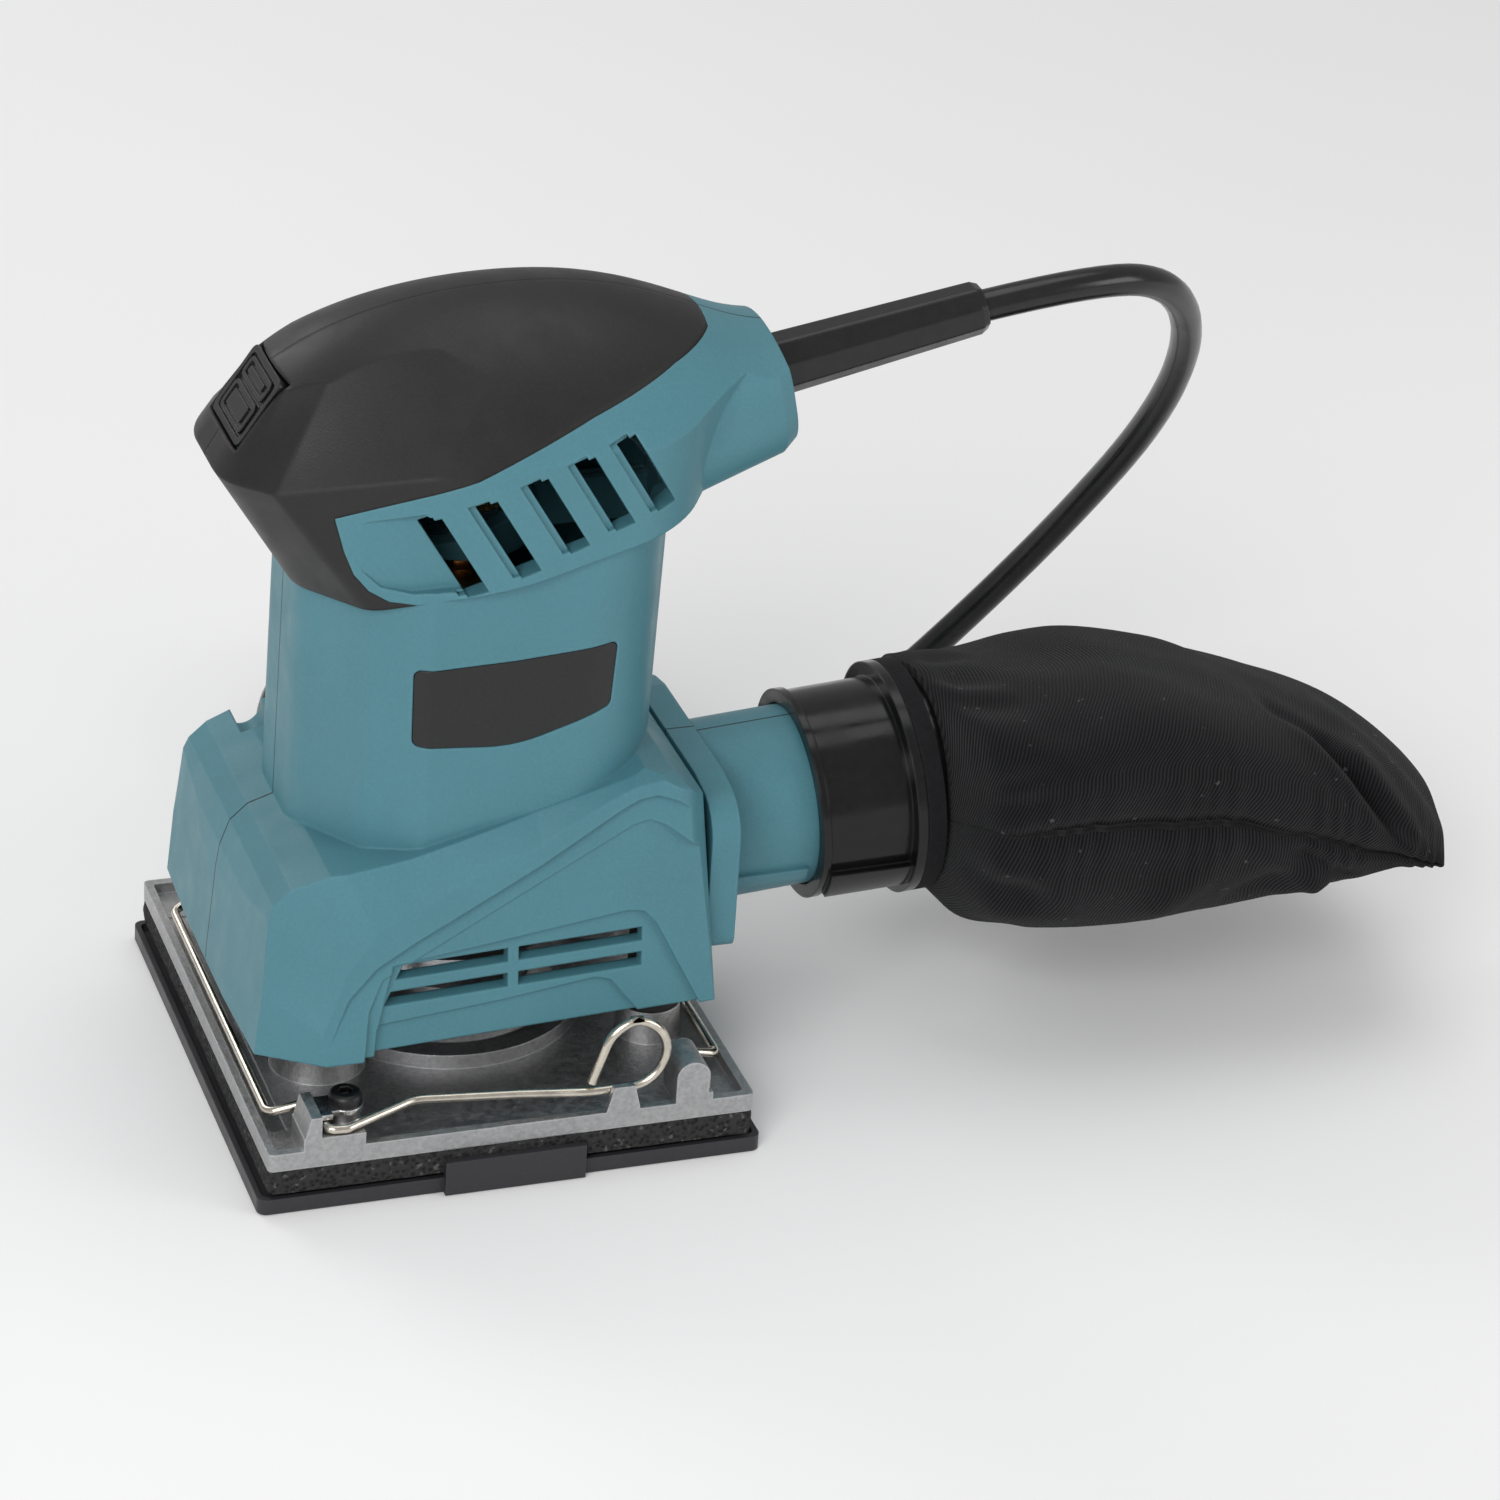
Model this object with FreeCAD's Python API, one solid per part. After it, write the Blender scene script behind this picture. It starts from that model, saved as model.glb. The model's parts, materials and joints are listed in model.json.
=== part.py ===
import FreeCAD, Part
import math
import os

# A palm (quarter-sheet) finishing sander with a dust bag and a mains lead.
# Millimetres. +X points to the rear (bag and lead), -X to the front (switch), +Z up.
# The origin is on the floor under the centre of the pad, which is also the motor axis.

V = FreeCAD.Vector
X = V(1, 0, 0)
Y = V(0, 1, 0)
Z = V(0, 0, 1)

# Pad
PAD_X = 100.0
PAD_Y = 110.0
PUNCH_TOP = 3.3
FOAM_LOW = 4.1
FOAM_TOP = 9.4
FLOOR_TOP = 10.8
LIP_TOP = 13.3
LIP = 1.8

# Clamp wires
WIRE_R = 0.95
WIRE_RUN_R = 0.1
PIVOT_X = 38.0
PIVOT_Z = 17.0
BAR_X = 46.9
BAR_Z = 14.2
BAR_Y = 41.0
LOOP_R = 7.7
LOOP_X = 24.0
LEVER_Y = 52.3

# Housing
WALL = 2.4
GRIP = 1.8
BASE_LOW = 26.0
BASE_TOP = 90.0
NECK_LOW = 56.0
NECK_TOP = 136.0
SPLIT = 0.0
FLANGE_X0 = 46.0
FLANGE_X1 = 52.0
FLANGE_Y = 32.0
FLANGE_LOW = 33.5
FLANGE_TOP = 68.0

# Dust port and bag
PORT_TILT = 4.5
PORT_OD = 37.7
PORT_ID = 32.5
PORT_Z = 48.0
PORT_LENGTH = 33.0
COLLAR_FRONT = 22.0
COLLAR_BACK = 44.0
COLLAR_OD = 42.8
COLLAR_GAP = 0.35
COLLAR_RING_OD = 49.0

# Motor
SHAFT_R = 4.0
BEARING_RUN = 0.03
ECCENTRIC = 0.8
PIN_R = 5.0
CORE_LOW = 66.0
CORE_TOP = 98.0
ARMATURE_R = 15.5
FIELD_R = 27.5
COMMUTATOR_R = 10.0
BRUSH_Z = 109.0
UPPER_BEARING_R = 11.0
LOWER_BEARING_R = 14.0
PAD_BEARING_R = 13.0
LOWER_SHAFT_R = 6.0
FAN_R = 27.0
LEGS = [(-31.0, 19.0, 9.2, 6.0), (38.0, 22.0, 6.4, 4.8)]
LEG_FOOT = 18.0
LEG_HEAD = 40.0

# Mains lead
GUARD_TILT = 12.0
GUARD_START = V(50.0, 0, 144.8)
GUARD_LENGTH = 58.6
CORD_R = 3.3
COIL_X = 36.0
COIL_Y = 112.0
COIL_OUTER = 46.6
COIL_INNER = 23.3
COIL_LAYERS = 2
TIE_ANGLE = 200.0
PLUG_Y = 77.0
CORD_POINTS = [(134, 1, 161), (154, 10, 154), (168, 28, 133), (172, 50, 104), (164, 71, 72), (149, 85, 43),
               (131, 92, 20), (109, 92, 6.4), (84, 86, 3.4), (61, 75.7, 3.4)]

# Switch
SWITCH_CENTRE = V(-42.0, 0, 149.8)
SWITCH_LEAN = 34.3
SWITCH_W = 19.6
SWITCH_H = 15.4
SWITCH_GAP = 0.5


def box(x0, x1, y0, y1, z0, z1):
    return Part.makeBox(x1 - x0, y1 - y0, z1 - z0, V(x0, y0, z0))


def disc(radius, x, y, z0, z1):
    return Part.makeCylinder(radius, z1 - z0, V(x, y, z0), Z)


def ring(outer, inner, x, y, z0, z1):
    return disc(outer, x, y, z0, z1).cut(disc(inner, x, y, z0, z1))


def rounded_wire(points, radii):
    """A closed planar outline through 3D corner points, each corner rounded by its radius."""
    count = len(points)
    edges = []
    starts = []
    ends = []
    for i in range(count):
        here = points[i]
        before = (points[i - 1] - here).normalize()
        after = (points[(i + 1) % count] - here).normalize()
        angle = before.getAngle(after)
        reach = radii[i] / math.tan(angle / 2)
        first = here + before * reach
        last = here + after * reach
        centre = here + (before + after).normalize() * (radii[i] / math.sin(angle / 2))
        middle = centre + (here - centre).normalize() * radii[i]
        starts.append(first)
        ends.append(last)
        edges.append(Part.Arc(first, middle, last).toShape())
    lines = []
    for i in range(count):
        lines.append(edges[i])
        a = ends[i]
        b = starts[(i + 1) % count]
        lines.append(Part.LineSegment(a, b).toShape())
    return Part.Wire(lines)


def mirrored_points(half, height):
    """Corner points of an outline that is symmetric about y = 0; half lists the side at -y, front first."""
    near = [V(x, y, height(x)) for x, y, r in half]
    far = [V(x, -y, height(x)) for x, y, r in reversed(half)]
    radii = [r for x, y, r in half]
    return near + far, radii + list(reversed(radii))


def symmetric_wire(half, height):
    points, radii = mirrored_points(half, height)
    return rounded_wire(points, radii)


def shrink(half, inset, middle):
    """The outline moved inwards: every corner comes closer to (middle, 0) by about the inset."""
    moved = []
    for x, y, r in half:
        size = math.hypot(x - middle, y)
        k = (size - inset * 1.12) / size
        moved.append((middle + (x - middle) * k, y * k, max(r * k, 0.5)))
    return moved


def loft(wires):
    return Part.makeLoft(wires, True, True)


def prism(points, direction):
    face = Part.Face(Part.makePolygon(points + [points[0]]))
    return face.extrude(direction)


def side_prism(outline, half_width):
    """A prism across the whole width from an (x, z) outline."""
    return prism([V(x, -half_width, z) for x, z in outline], V(0, 2 * half_width, 0))


def tube_wire(points, radii):
    """Straight runs joined by tangent arcs; radii has one value for each inner point."""
    edges = []
    start = points[0]
    for i in range(1, len(points) - 1):
        here = points[i]
        back = (points[i - 1] - here).normalize()
        ahead = (points[i + 1] - here).normalize()
        half = back.getAngle(ahead) / 2
        reach = radii[i - 1] / math.tan(half)
        first = here + back * reach
        last = here + ahead * reach
        centre = here + (back + ahead).normalize() * (radii[i - 1] / math.sin(half))
        middle = centre + (here - centre).normalize() * radii[i - 1]
        if start.distanceToPoint(first) > 1e-4:
            edges.append(Part.LineSegment(start, first).toShape())
        edges.append(Part.Arc(first, middle, last).toShape())
        start = last
    if start.distanceToPoint(points[-1]) > 1e-4:
        edges.append(Part.LineSegment(start, points[-1]).toShape())
    return Part.Wire(edges)


def sweep(path, radius):
    start = path.OrderedEdges[0]
    profile = Part.Wire(Part.makeCircle(radius, start.valueAt(start.FirstParameter),
                                        start.tangentAt(start.FirstParameter)))
    return path.makePipeShell([profile], True, False)


def spun(shape):
    """The same thing turned half round the vertical axis."""
    twin = shape.copy()
    twin.rotate(V(0, 0, 0), Z, 180)
    return twin


def fuse(shapes):
    result = shapes[0]
    for shape in shapes[1:]:
        result = result.fuse(shape)
    return result.removeSplitter()


def along(origin, direction, distance):
    return origin + direction * distance


def save(name, shape):
    if not shape.isValid():
        print("not valid:", name)
    solids = shape.Solids
    if len(solids) == 1:
        shape = solids[0]
    else:
        shape = Part.makeCompound(solids)
    print("%-22s solids %2d  volume %9.1f" % (name, len(solids), shape.Volume))
    shape.exportStep("parts/" + name + ".step")


# ---------------------------------------------------------------- housing outline

BASE_FOOT = [(-49.8, -14, 30), (-48.6, -45.6, 2), (42.0, -45.6, 7), (47.0, -37.0, 6)]
BASE_HEAD = [(-44.0, -12, 28), (-42.5, -38.5, 2), (38.0, -32.0, 7), (43.0, -27.0, 6)]
NECK_FOOT = [(-36.6, -11, 14), (-26.0, -28.5, 4), (-15.5, -34.0, 3), (27.0, -32.5, 22), (38.5, -9.0, 14)]
NECK_HEAD = [(-34.6, -11, 14), (-24.0, -28.5, 4), (-13.5, -34.0, 3), (30.0, -32.5, 22), (41.0, -9.0, 14)]
LIP_LINE = [(-36.5, -12, 16), (-26.0, -30.4, 8), (0.0, -37.4, 40), (36.0, -30.8, 24), (49.0, -10.5, 10)]
LIP_Z = 122.2
LIP_RISE = 0.19
CREASE_LOW = [(-51.3, -12, 18), (-43.5, -23.5, 3), (-8.0, -37.0, 40), (34.0, -33.5, 26), (57.0, -15.0, 9)]
CREASE_HIGH = [(-35.5, -5.5, 5), (-24.2, -9.4, 2), (-6.0, -8.6, 20), (30.0, -7.4, 14), (52.0, -5.0, 3)]

SHOULDER = [(-60, 20), (-49.9, 24), (-48.4, 44), (-47.1, 52.4), (-45.1, 57.8), (-41.5, 61.1), (-34, 63.7),
            (-18, 65.5), (8, 71.5), (31, 77.5), (37, 76.0), (47, 66.5), (60, 60), (60, 10), (-60, 10)]

# The band that arches over each side of the base runs between these two outlines.
BAND_Y = (29.0, 46.5)
BAND_INNER = [(-62, 5), (-62, 48), (-60, 66), (-40, 84), (-20, 80), (8, 76.5), (29, 78.3), (34, 78.3),
              (39, 75.5),
              (62, 57), (62, 5)]
BAND_OUTER = [(-36.9, 5), (-34.3, 31.4), (-25.8, 39.6), (-21.1, 41.8), (-17.4, 45.9), (8, 57.9), (26.4, 71.5),
              (34, 72.4), (41.8, 67.9), (62, 50), (62, 5)]

# Each side of the base steps back from the band to a side panel, and in it to a leaning facet, a vent panel
# and a lower panel. The two planes are given by three points each.
SIDE_PLANE = [V(-24, -43.25, 43.5), V(31, -36.56, 70.4), V(28, -41.2, 48)]
SIDE_PANEL = [(-37.5, 10), (-35.2, 31), (-31.6, 39.5), (-26.0, 45.3), (-18, 49.8), (8, 62.4), (24, 71.0),
              (28.5, 73.0),
              (32.5, 73.4), (37, 71.6), (46, 64.5), (60, 59), (60, 10)]
SIDE_PANEL_DEPTH = 1.1
FACET_PLANE = [V(-24, -43.25, 43.5), V(31, -36.56, 70.4), V(28, -38.9, 48)]
FACET_DEPTH = 1.3
FACET = [(-30.5, 10), (-27.5, 36), (-24.5, 42.3), (3, 55.6), (27.5, 67.4), (31, 68.2), (34.6, 66.6),
         (45, 58.3),
         (60, 54), (60, 10)]
VENT_PANEL = [(-28, 10), (-25.4, 32), (-22.3, 44.9), (0, 46.6), (27, 48.9), (30.5, 48.2), (33.2, 45.2),
              (43, 26),
              (46, 10)]
LOW_PANEL = [(-28, 10), (-25.6, 31.9), (0, 33.0), (20.7, 34.7), (24.0, 33.6), (33, 22), (36, 10)]
VENT_PANEL_DEPTH = 2.4
LOW_PANEL_DEPTH = 3.2

BADGE_CORNER = 1.6
BADGE_SWEEP = 30.0

# A scoop leads into the head slots; it deepens rearwards from nothing at SCOOP_START.
SCOOP = [(-31.0, 134.8), (-27.5, 125.6), (-24.0, 122.4), (-18, 121.2), (-5.6, 122.4), (-13.8, 136.4),
         (-16.5, 138.2)]
SCOOP_START = (-31.0, 28.7)
SCOOP_SLOPE = 0.17

# A notch scooped across the far shoulder, beside the neck, with a boss under it.
NOTCH_X = -33.0
NOTCH_Z = 61.6
NOTCH_Y = 26.0
NOTCH_R = 3.4
SCREW_BORE = 3.4

GRIP_SIDE = [(-60, 100), (-16, 100), (-17.0, 118.9), (-22.5, 119.5), (-26.2, 121.5), (-29.0, 124.8),
             (-30.8, 129.4), (-32.6, 136.2),
             (-10.0, 144.4), (17.0, 153.8), (36.0, 159.2), (46.5, 161.2), (48.0, 164.5), (48.0, 185), (-60, 185)]


def base_block(inset):
    """The lower housing: a drafted block under a shoulder that climbs to the rear, with slanted sides."""
    foot = symmetric_wire(shrink(BASE_FOOT, inset, 0), lambda x: BASE_LOW - 2 * inset)
    head = symmetric_wire(shrink(BASE_HEAD, inset, 0), lambda x: BASE_TOP)
    block = loft([foot, head])
    shoulder = side_prism([(x, z - inset) for x, z in SHOULDER], 60)
    block = block.common(shoulder).common(band_hull(inset))
    if inset:
        outline = [(-31, 10), (-28, 40), (-26, 46.5), (32, 73), (60, 62), (60, 10)]
        block = side_cut(block, SIDE_PLANE, [(-40, 10), (-38, 42), (-28, 52), (32, 80), (60, 70), (60, 10)],
                         SIDE_PANEL_DEPTH + inset)
        return side_cut(block, FACET_PLANE, outline, LOW_PANEL_DEPTH + inset)
    block = side_cut(block, SIDE_PLANE, SIDE_PANEL, SIDE_PANEL_DEPTH)
    block = side_cut(block, FACET_PLANE, FACET, FACET_DEPTH)
    block = side_cut(block, FACET_PLANE, VENT_PANEL, VENT_PANEL_DEPTH)
    return side_cut(block, FACET_PLANE, LOW_PANEL, LOW_PANEL_DEPTH)


def band_hull(inset):
    """A slab across the base whose two ends taper along the arched bands."""
    shift = 1.25 * inset
    inner_y = BAND_Y[0] - shift
    outer_y = BAND_Y[1] - shift
    slab = side_prism(BAND_INNER, inner_y)
    for side in (-1, 1):
        inner = Part.makePolygon([V(x, inner_y * side, z) for x, z in BAND_INNER + BAND_INNER[:1]])
        outer = Part.makePolygon([V(x, outer_y * side, z) for x, z in BAND_OUTER + BAND_OUTER[:1]])
        slab = slab.fuse(loft([inner, outer]))
    return slab


def side_cut(block, plane, outline, depth):
    """Takes off what stands outside a plane, moved in by depth, within an outline on each side."""
    low, top, deep = plane
    normal = (top - low).cross(deep - low).normalize()
    if normal.y > 0:
        normal = -normal
    outside = Part.makeBox(300, 300, 60, V(-150, -150, 0))
    outside.Placement = FreeCAD.Placement(low - normal * depth, FreeCAD.Rotation(Z, normal)).multiply(
        outside.Placement)
    near = outside.common(prism([V(x, -80, z) for x, z in outline], V(0, 80, 0)))
    return block.cut(near).cut(near.mirror(V(0, 0, 0), Y))


def neck_block(inset):
    foot = symmetric_wire(shrink(NECK_FOOT, inset, 2), lambda x: NECK_LOW)
    head = symmetric_wire(shrink(NECK_HEAD, inset, 3), lambda x: NECK_TOP)
    return loft([foot, head])


def dome(inset):
    """Everything under the crown: a single smooth surface, highest over the middle of the head."""
    stations = [(-75, 128), (-52, 147.0), (-40, 156.5), (-28, 163.2), (-12, 168.0), (6, 170.0), (22, 169.3),
                (36, 166.2), (47, 162.2), (58, 158.6), (75, 151)]
    grid = []
    for x, top in stations:
        grid.append([V(x, y, top - inset - 0.0175 * y * y) for y in (-60, -40, -20, 0, 20, 40, 60)])
    surface = Part.BSplineSurface()
    surface.interpolate(grid)
    return surface.toShape().extrude(V(0, 0, -120))


def head_block(inset):
    """The palm head: a faceted body between three tilted outlines, under the crown."""
    lip = symmetric_wire(shrink(LIP_LINE, inset, 5), lambda x: LIP_Z + LIP_RISE * x + inset)
    low = symmetric_wire(shrink(CREASE_LOW, inset, 5), lambda x: 149.0 + 0.2 * x)
    high = symmetric_wire(shrink(CREASE_HIGH, inset, 5), lambda x: 173.0 + 0.2 * x - inset)
    body = loft([lip, low]).fuse(loft([low, high])).fuse(tail_block(inset))
    return body.common(dome(inset))


def tail_block(inset):
    """The barrel around the lead's exit, square to the lead."""
    wires = []
    sections = [(-26, 26, 17, 13), (10 - inset, 18.5, 14.2, 12), (13 - inset, 16.5, 12.2, 10)]
    for distance, half_y, half_z, radius in sections:
        middle = along(GUARD_START, guard_direction(), distance)
        up = V(-math.sin(math.radians(GUARD_TILT)), 0, math.cos(math.radians(GUARD_TILT)))
        y = half_y - inset
        z = half_z - inset
        corners = [middle - Y * y - up * z, middle - Y * y + up * z]
        corners += [middle + Y * y + up * z, middle + Y * y - up * z]
        wires.append(rounded_wire(corners, [radius - inset] * 4))
    return loft(wires)


def flange_block():
    half = [(-FLANGE_Y, FLANGE_LOW, 3), (-FLANGE_Y, FLANGE_TOP - 2.5, 9)]
    points = [V(FLANGE_X0, y, z) for y, z, r in half] + [V(FLANGE_X0, -y, z) for y, z, r in reversed(half)]
    points.insert(2, V(FLANGE_X0, -19, FLANGE_TOP))
    points.insert(3, V(FLANGE_X0, 19, FLANGE_TOP))
    wire = rounded_wire(points, [3, 9, 4, 4, 9, 3])
    plate = Part.Face(wire).extrude(V(FLANGE_X1 - FLANGE_X0, 0, 0))
    return plate


def port_direction():
    tilt = math.radians(PORT_TILT)
    return V(math.cos(tilt), 0, math.sin(tilt))


def port_point(distance):
    return along(V(FLANGE_X1, 0, PORT_Z), port_direction(), distance)


def port_cylinder(radius, start, end):
    return Part.makeCylinder(radius, end - start, port_point(start), port_direction())


def guard_direction():
    tilt = math.radians(GUARD_TILT)
    return V(math.cos(tilt), 0, math.sin(tilt))


def guard_cylinder(radius, start, end):
    foot = along(GUARD_START, guard_direction(), start)
    return Part.makeCylinder(radius, end - start, foot, guard_direction())


def switch_placement():
    """Local x runs across the button (+Y), local y up the sloping face, local z out of it."""
    lean = math.radians(SWITCH_LEAN)
    up = V(math.sin(lean), 0, math.cos(lean))
    out = V(-math.cos(lean), 0, math.sin(lean))
    return FreeCAD.Placement(SWITCH_CENTRE, FreeCAD.Rotation(up.cross(out), up, out, "XYZ"))


def switch_box(half_across, half_up, low, high):
    shape = Part.makeBox(2 * half_across, 2 * half_up, high - low, V(-half_across, -half_up, low))
    shape.Placement = switch_placement()
    return shape


SLOT_W = 3.9
SLOT_STEP = 1.7


def head_vents():
    """Five slanted air slots on each side of the head."""
    slots = []
    tops = [(-13.6, 137.6), (-3.4, 141.2), (6.6, 144.8), (16.0, 148.0), (24.8, 150.6)]
    for top_x, top_z in tops:
        low_x = top_x + 9.4
        low_z = top_z - 15.5
        outline = [(top_x - SLOT_W, top_z - 0.35 * SLOT_W), (top_x, top_z), (low_x, low_z),
                   (low_x - SLOT_W, low_z - 0.3 * SLOT_W)]
        slots.append(side_prism(outline, 50))
    return slots


def head_recesses():
    """A shallow step on the front side of each head slot, and a scoop in front of the first one."""
    skin = head_block(0).cut(head_block(1.1))
    cuts = []
    for slot in head_vents():
        step = slot.copy()
        step.translate(V(-SLOT_STEP, 0, 0.2))
        cuts.append(skin.common(step))
    for side in (-1, 1):
        floor = [V(x, side * (SCOOP_START[1] + SCOOP_SLOPE * (x - SCOOP_START[0])), z) for x, z in SCOOP]
        cuts.append(prism(floor, V(0, 12 * side, 0)))
    return cuts


def base_vents():
    """Two rows of air slots on each side of the base, with a post in the middle."""
    slots = []
    for low, high, start in ((41.2, 44.2, -21.5), (35.8, 38.8, -24.0)):
        slots.append(side_prism([(start, low), (2.0, low), (2.0, high), (start + 1.5, high)], 60))
        slots.append(side_prism([(4.2, low), (30.5, low), (30.5, high), (4.2, high)], 60))
    return slots


def badge_block(side, depth, grow):
    """The label field on a side of the neck, as the part of the neck's skin within an outline."""
    outline = [(-17.5 - grow, 88.5 - grow), (3, 86.5 - grow), (23.0 + grow, 92.5 - grow),
               (24.0 + grow, 106.5 + grow), (3, 105.3 + grow), (-17.5 - grow, 105.0 + grow)]
    y0 = -45 if side < 0 else 20
    radii = [BADGE_CORNER, BADGE_SWEEP, BADGE_CORNER, BADGE_CORNER, BADGE_SWEEP, BADGE_CORNER]
    wire = rounded_wire([V(x, y0, z) for x, z in outline], radii)
    body = Part.Face(wire).extrude(V(0, 25, 0))
    skin = neck_block(0).cut(neck_block(depth))
    return skin.common(body)


def screw_sites():
    """Places (x, z) of the five screws that close the housing."""
    return [(-38.0, 50.0), (39.5, 67.5), (-33.5, 127.0), (44.3, 136.8), (-42.0, 34.0)]


def bearing_seat():
    """A cup for the upper bearing, held by a cross of ribs."""
    ribs = box(-60, 60, -2, 2, 118, 127.5).fuse(box(-2, 2, -60, 60, 118, 127.5))
    cross = fuse([disc(14.5, 0, 0, 118, 127.5), ribs])
    return cross.cut(disc(UPPER_BEARING_R, 0, 0, 118, 127.5))


def brush_shelves():
    return fuse([box(-7, 7, -60, -20, 102.5, BRUSH_Z - 5.5), box(-7, 7, 20, 60, 102.5, BRUSH_Z - 5.5)])


def core_ribs():
    ribs = fuse([box(-60, 60, -3, 3, 70, 94), box(-3, 3, -60, 60, 70, 94)])
    return ribs.cut(disc(FIELD_R, 0, 0, 60, 104))


def leg_seats():
    """Shelves from the side walls that the rubber legs hang from."""
    shelves = fuse([box(-60, -24.8, -60, -12, 40, 44), box(-60, -24.8, 12, 60, 40, 44),
                    box(32, 60, -60, -17, 40, 44), box(32, 60, 17, 60, 40, 44)])
    return shelves.cut(disc(FAN_R + 2, 0, 0, 35, 60))


def housing():
    outer = fuse([base_block(0), neck_block(0), head_block(0), flange_block(),
                  port_cylinder(PORT_OD / 2, -6, PORT_LENGTH)])
    rib = port_cylinder(PORT_OD / 2 + 0.9, 0, 20).common(
        fuse([box(40, 100, -60, -10, 38.5, 42.0), box(40, 100, 10, 60, 38.5, 42.0)]))
    outer = outer.fuse(rib)
    inner = fuse([base_block(WALL), neck_block(WALL), head_block(WALL + GRIP)])
    inner = inner.fuse(port_cylinder(PORT_ID / 2, -12, PORT_LENGTH + 1))
    skin = head_block(0).cut(head_block(GRIP))
    grips = skin.common(side_prism(GRIP_SIDE, 60)).cut(neck_block(0.01))
    core = outer.cut(skin.common(side_prism(GRIP_SIDE, 60)))
    shell = core.cut(inner)

    # seats for the bearings, the baffle, the switch and the lead, moulded to the shells
    inside = inner.common(box(-46, 60, -44, 44, BASE_LOW, 180))
    baffle_seat = ring(60, 33.0, 0, 0, 57.0, 59.0).common(box(-46, 46, -60, 60, 50, 60))
    seats = [bearing_seat(), brush_shelves(), core_ribs(), leg_seats(), baffle_seat]
    seats.append(guard_cylinder(24, 2.2, 4.2).cut(guard_cylinder(6.2, 0, 8)))
    seats = [seat.common(inside) for seat in seats]
    posts = []
    bores = []
    for x, z in screw_sites():
        posts.append(Part.makeCylinder(3.6, 100, V(x, -50, z), Y).common(core))
        bores.append(Part.makeCylinder(1.25, 22, V(x, -10, z), Y))
        bores.append(Part.makeCylinder(1.75, 60, V(x, 0, z), Y))
        bores.append(Part.makeCylinder(SCREW_BORE, 60, V(x, 12, z), Y))
    post_cut = fuse([disc(30, 0, 0, 20, 140), box(-31, 31, -60, 60, 20, 140)])
    boss = Part.makeCylinder(NOTCH_R + 1.8, 60, V(NOTCH_X, NOTCH_Y - 2.0, NOTCH_Z), Y).common(core)
    shell = fuse([shell, boss] + seats + [post.cut(post_cut) for post in posts])

    cuts = head_recesses() + head_vents() + base_vents() + bores
    cuts.append(box(NOTCH_X - NOTCH_R, NOTCH_X + NOTCH_R, NOTCH_Y, 60, NOTCH_Z, NOTCH_Z + 15))
    cuts.append(Part.makeCylinder(NOTCH_R, 60, V(NOTCH_X, NOTCH_Y, NOTCH_Z), Y))
    cuts.append(switch_box(SWITCH_W / 2 + SWITCH_GAP, SWITCH_H / 2 + SWITCH_GAP, -12, 8))
    cuts.append(guard_cylinder(7.0, 4.5, 30))
    for cut in cuts:
        shell = shell.cut(cut)
    for side in (-1, 1):
        shell = shell.cut(badge_block(side, 1.2, 0))
    shell = shell.cut(box(-60, 60, -60, 60, 0, BASE_LOW))
    for cut in bores + cuts[-2:]:
        grips = grips.cut(cut)
    near = box(-80, 140, -80, SPLIT, 0, 200)
    far = box(-80, 140, SPLIT, 80, 0, 200)
    return shell.common(near), shell.common(far), grips.common(near), grips.common(far)


def biggest(shape):
    return max(shape.Solids, key=lambda solid: solid.Volume)


def make_housing():
    left, right, grip_left, grip_right = housing()
    save("housing_left", biggest(left))
    save("housing_right", biggest(right))
    save("grip_left", biggest(grip_left))
    save("grip_right", biggest(grip_right))
    for side, name in ((-1, "badge_left"), (1, "badge_right")):
        save(name, badge_block(side, 1.2, -0.15))
    screws = []
    for x, z in screw_sites():
        shank = Part.makeCylinder(1.25, 16, V(x, -9, z), Y)
        stem = Part.makeCylinder(1.6, 5, V(x, 7, z), Y)
        head = Part.makeCylinder(3.2, 2.2, V(x, 12, z), Y)
        screws.append(fuse([shank, stem, head]))
    save("housing_screws", Part.makeCompound(screws))


# ---------------------------------------------------------------- pad, platen and paper clamps

def corner_block(x_size, y_size, z0, z1, radius):
    block = box(-x_size / 2, x_size / 2, -y_size / 2, y_size / 2, z0, z1)
    upright = [edge for edge in block.Edges if abs(edge.tangentAt(edge.FirstParameter).z) > 0.9]
    return block.makeFillet(radius, upright)


def leg_sites():
    return [(x, y * side, boss, rubber) for x, y, boss, rubber in LEGS for side in (-1, 1)]


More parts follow.
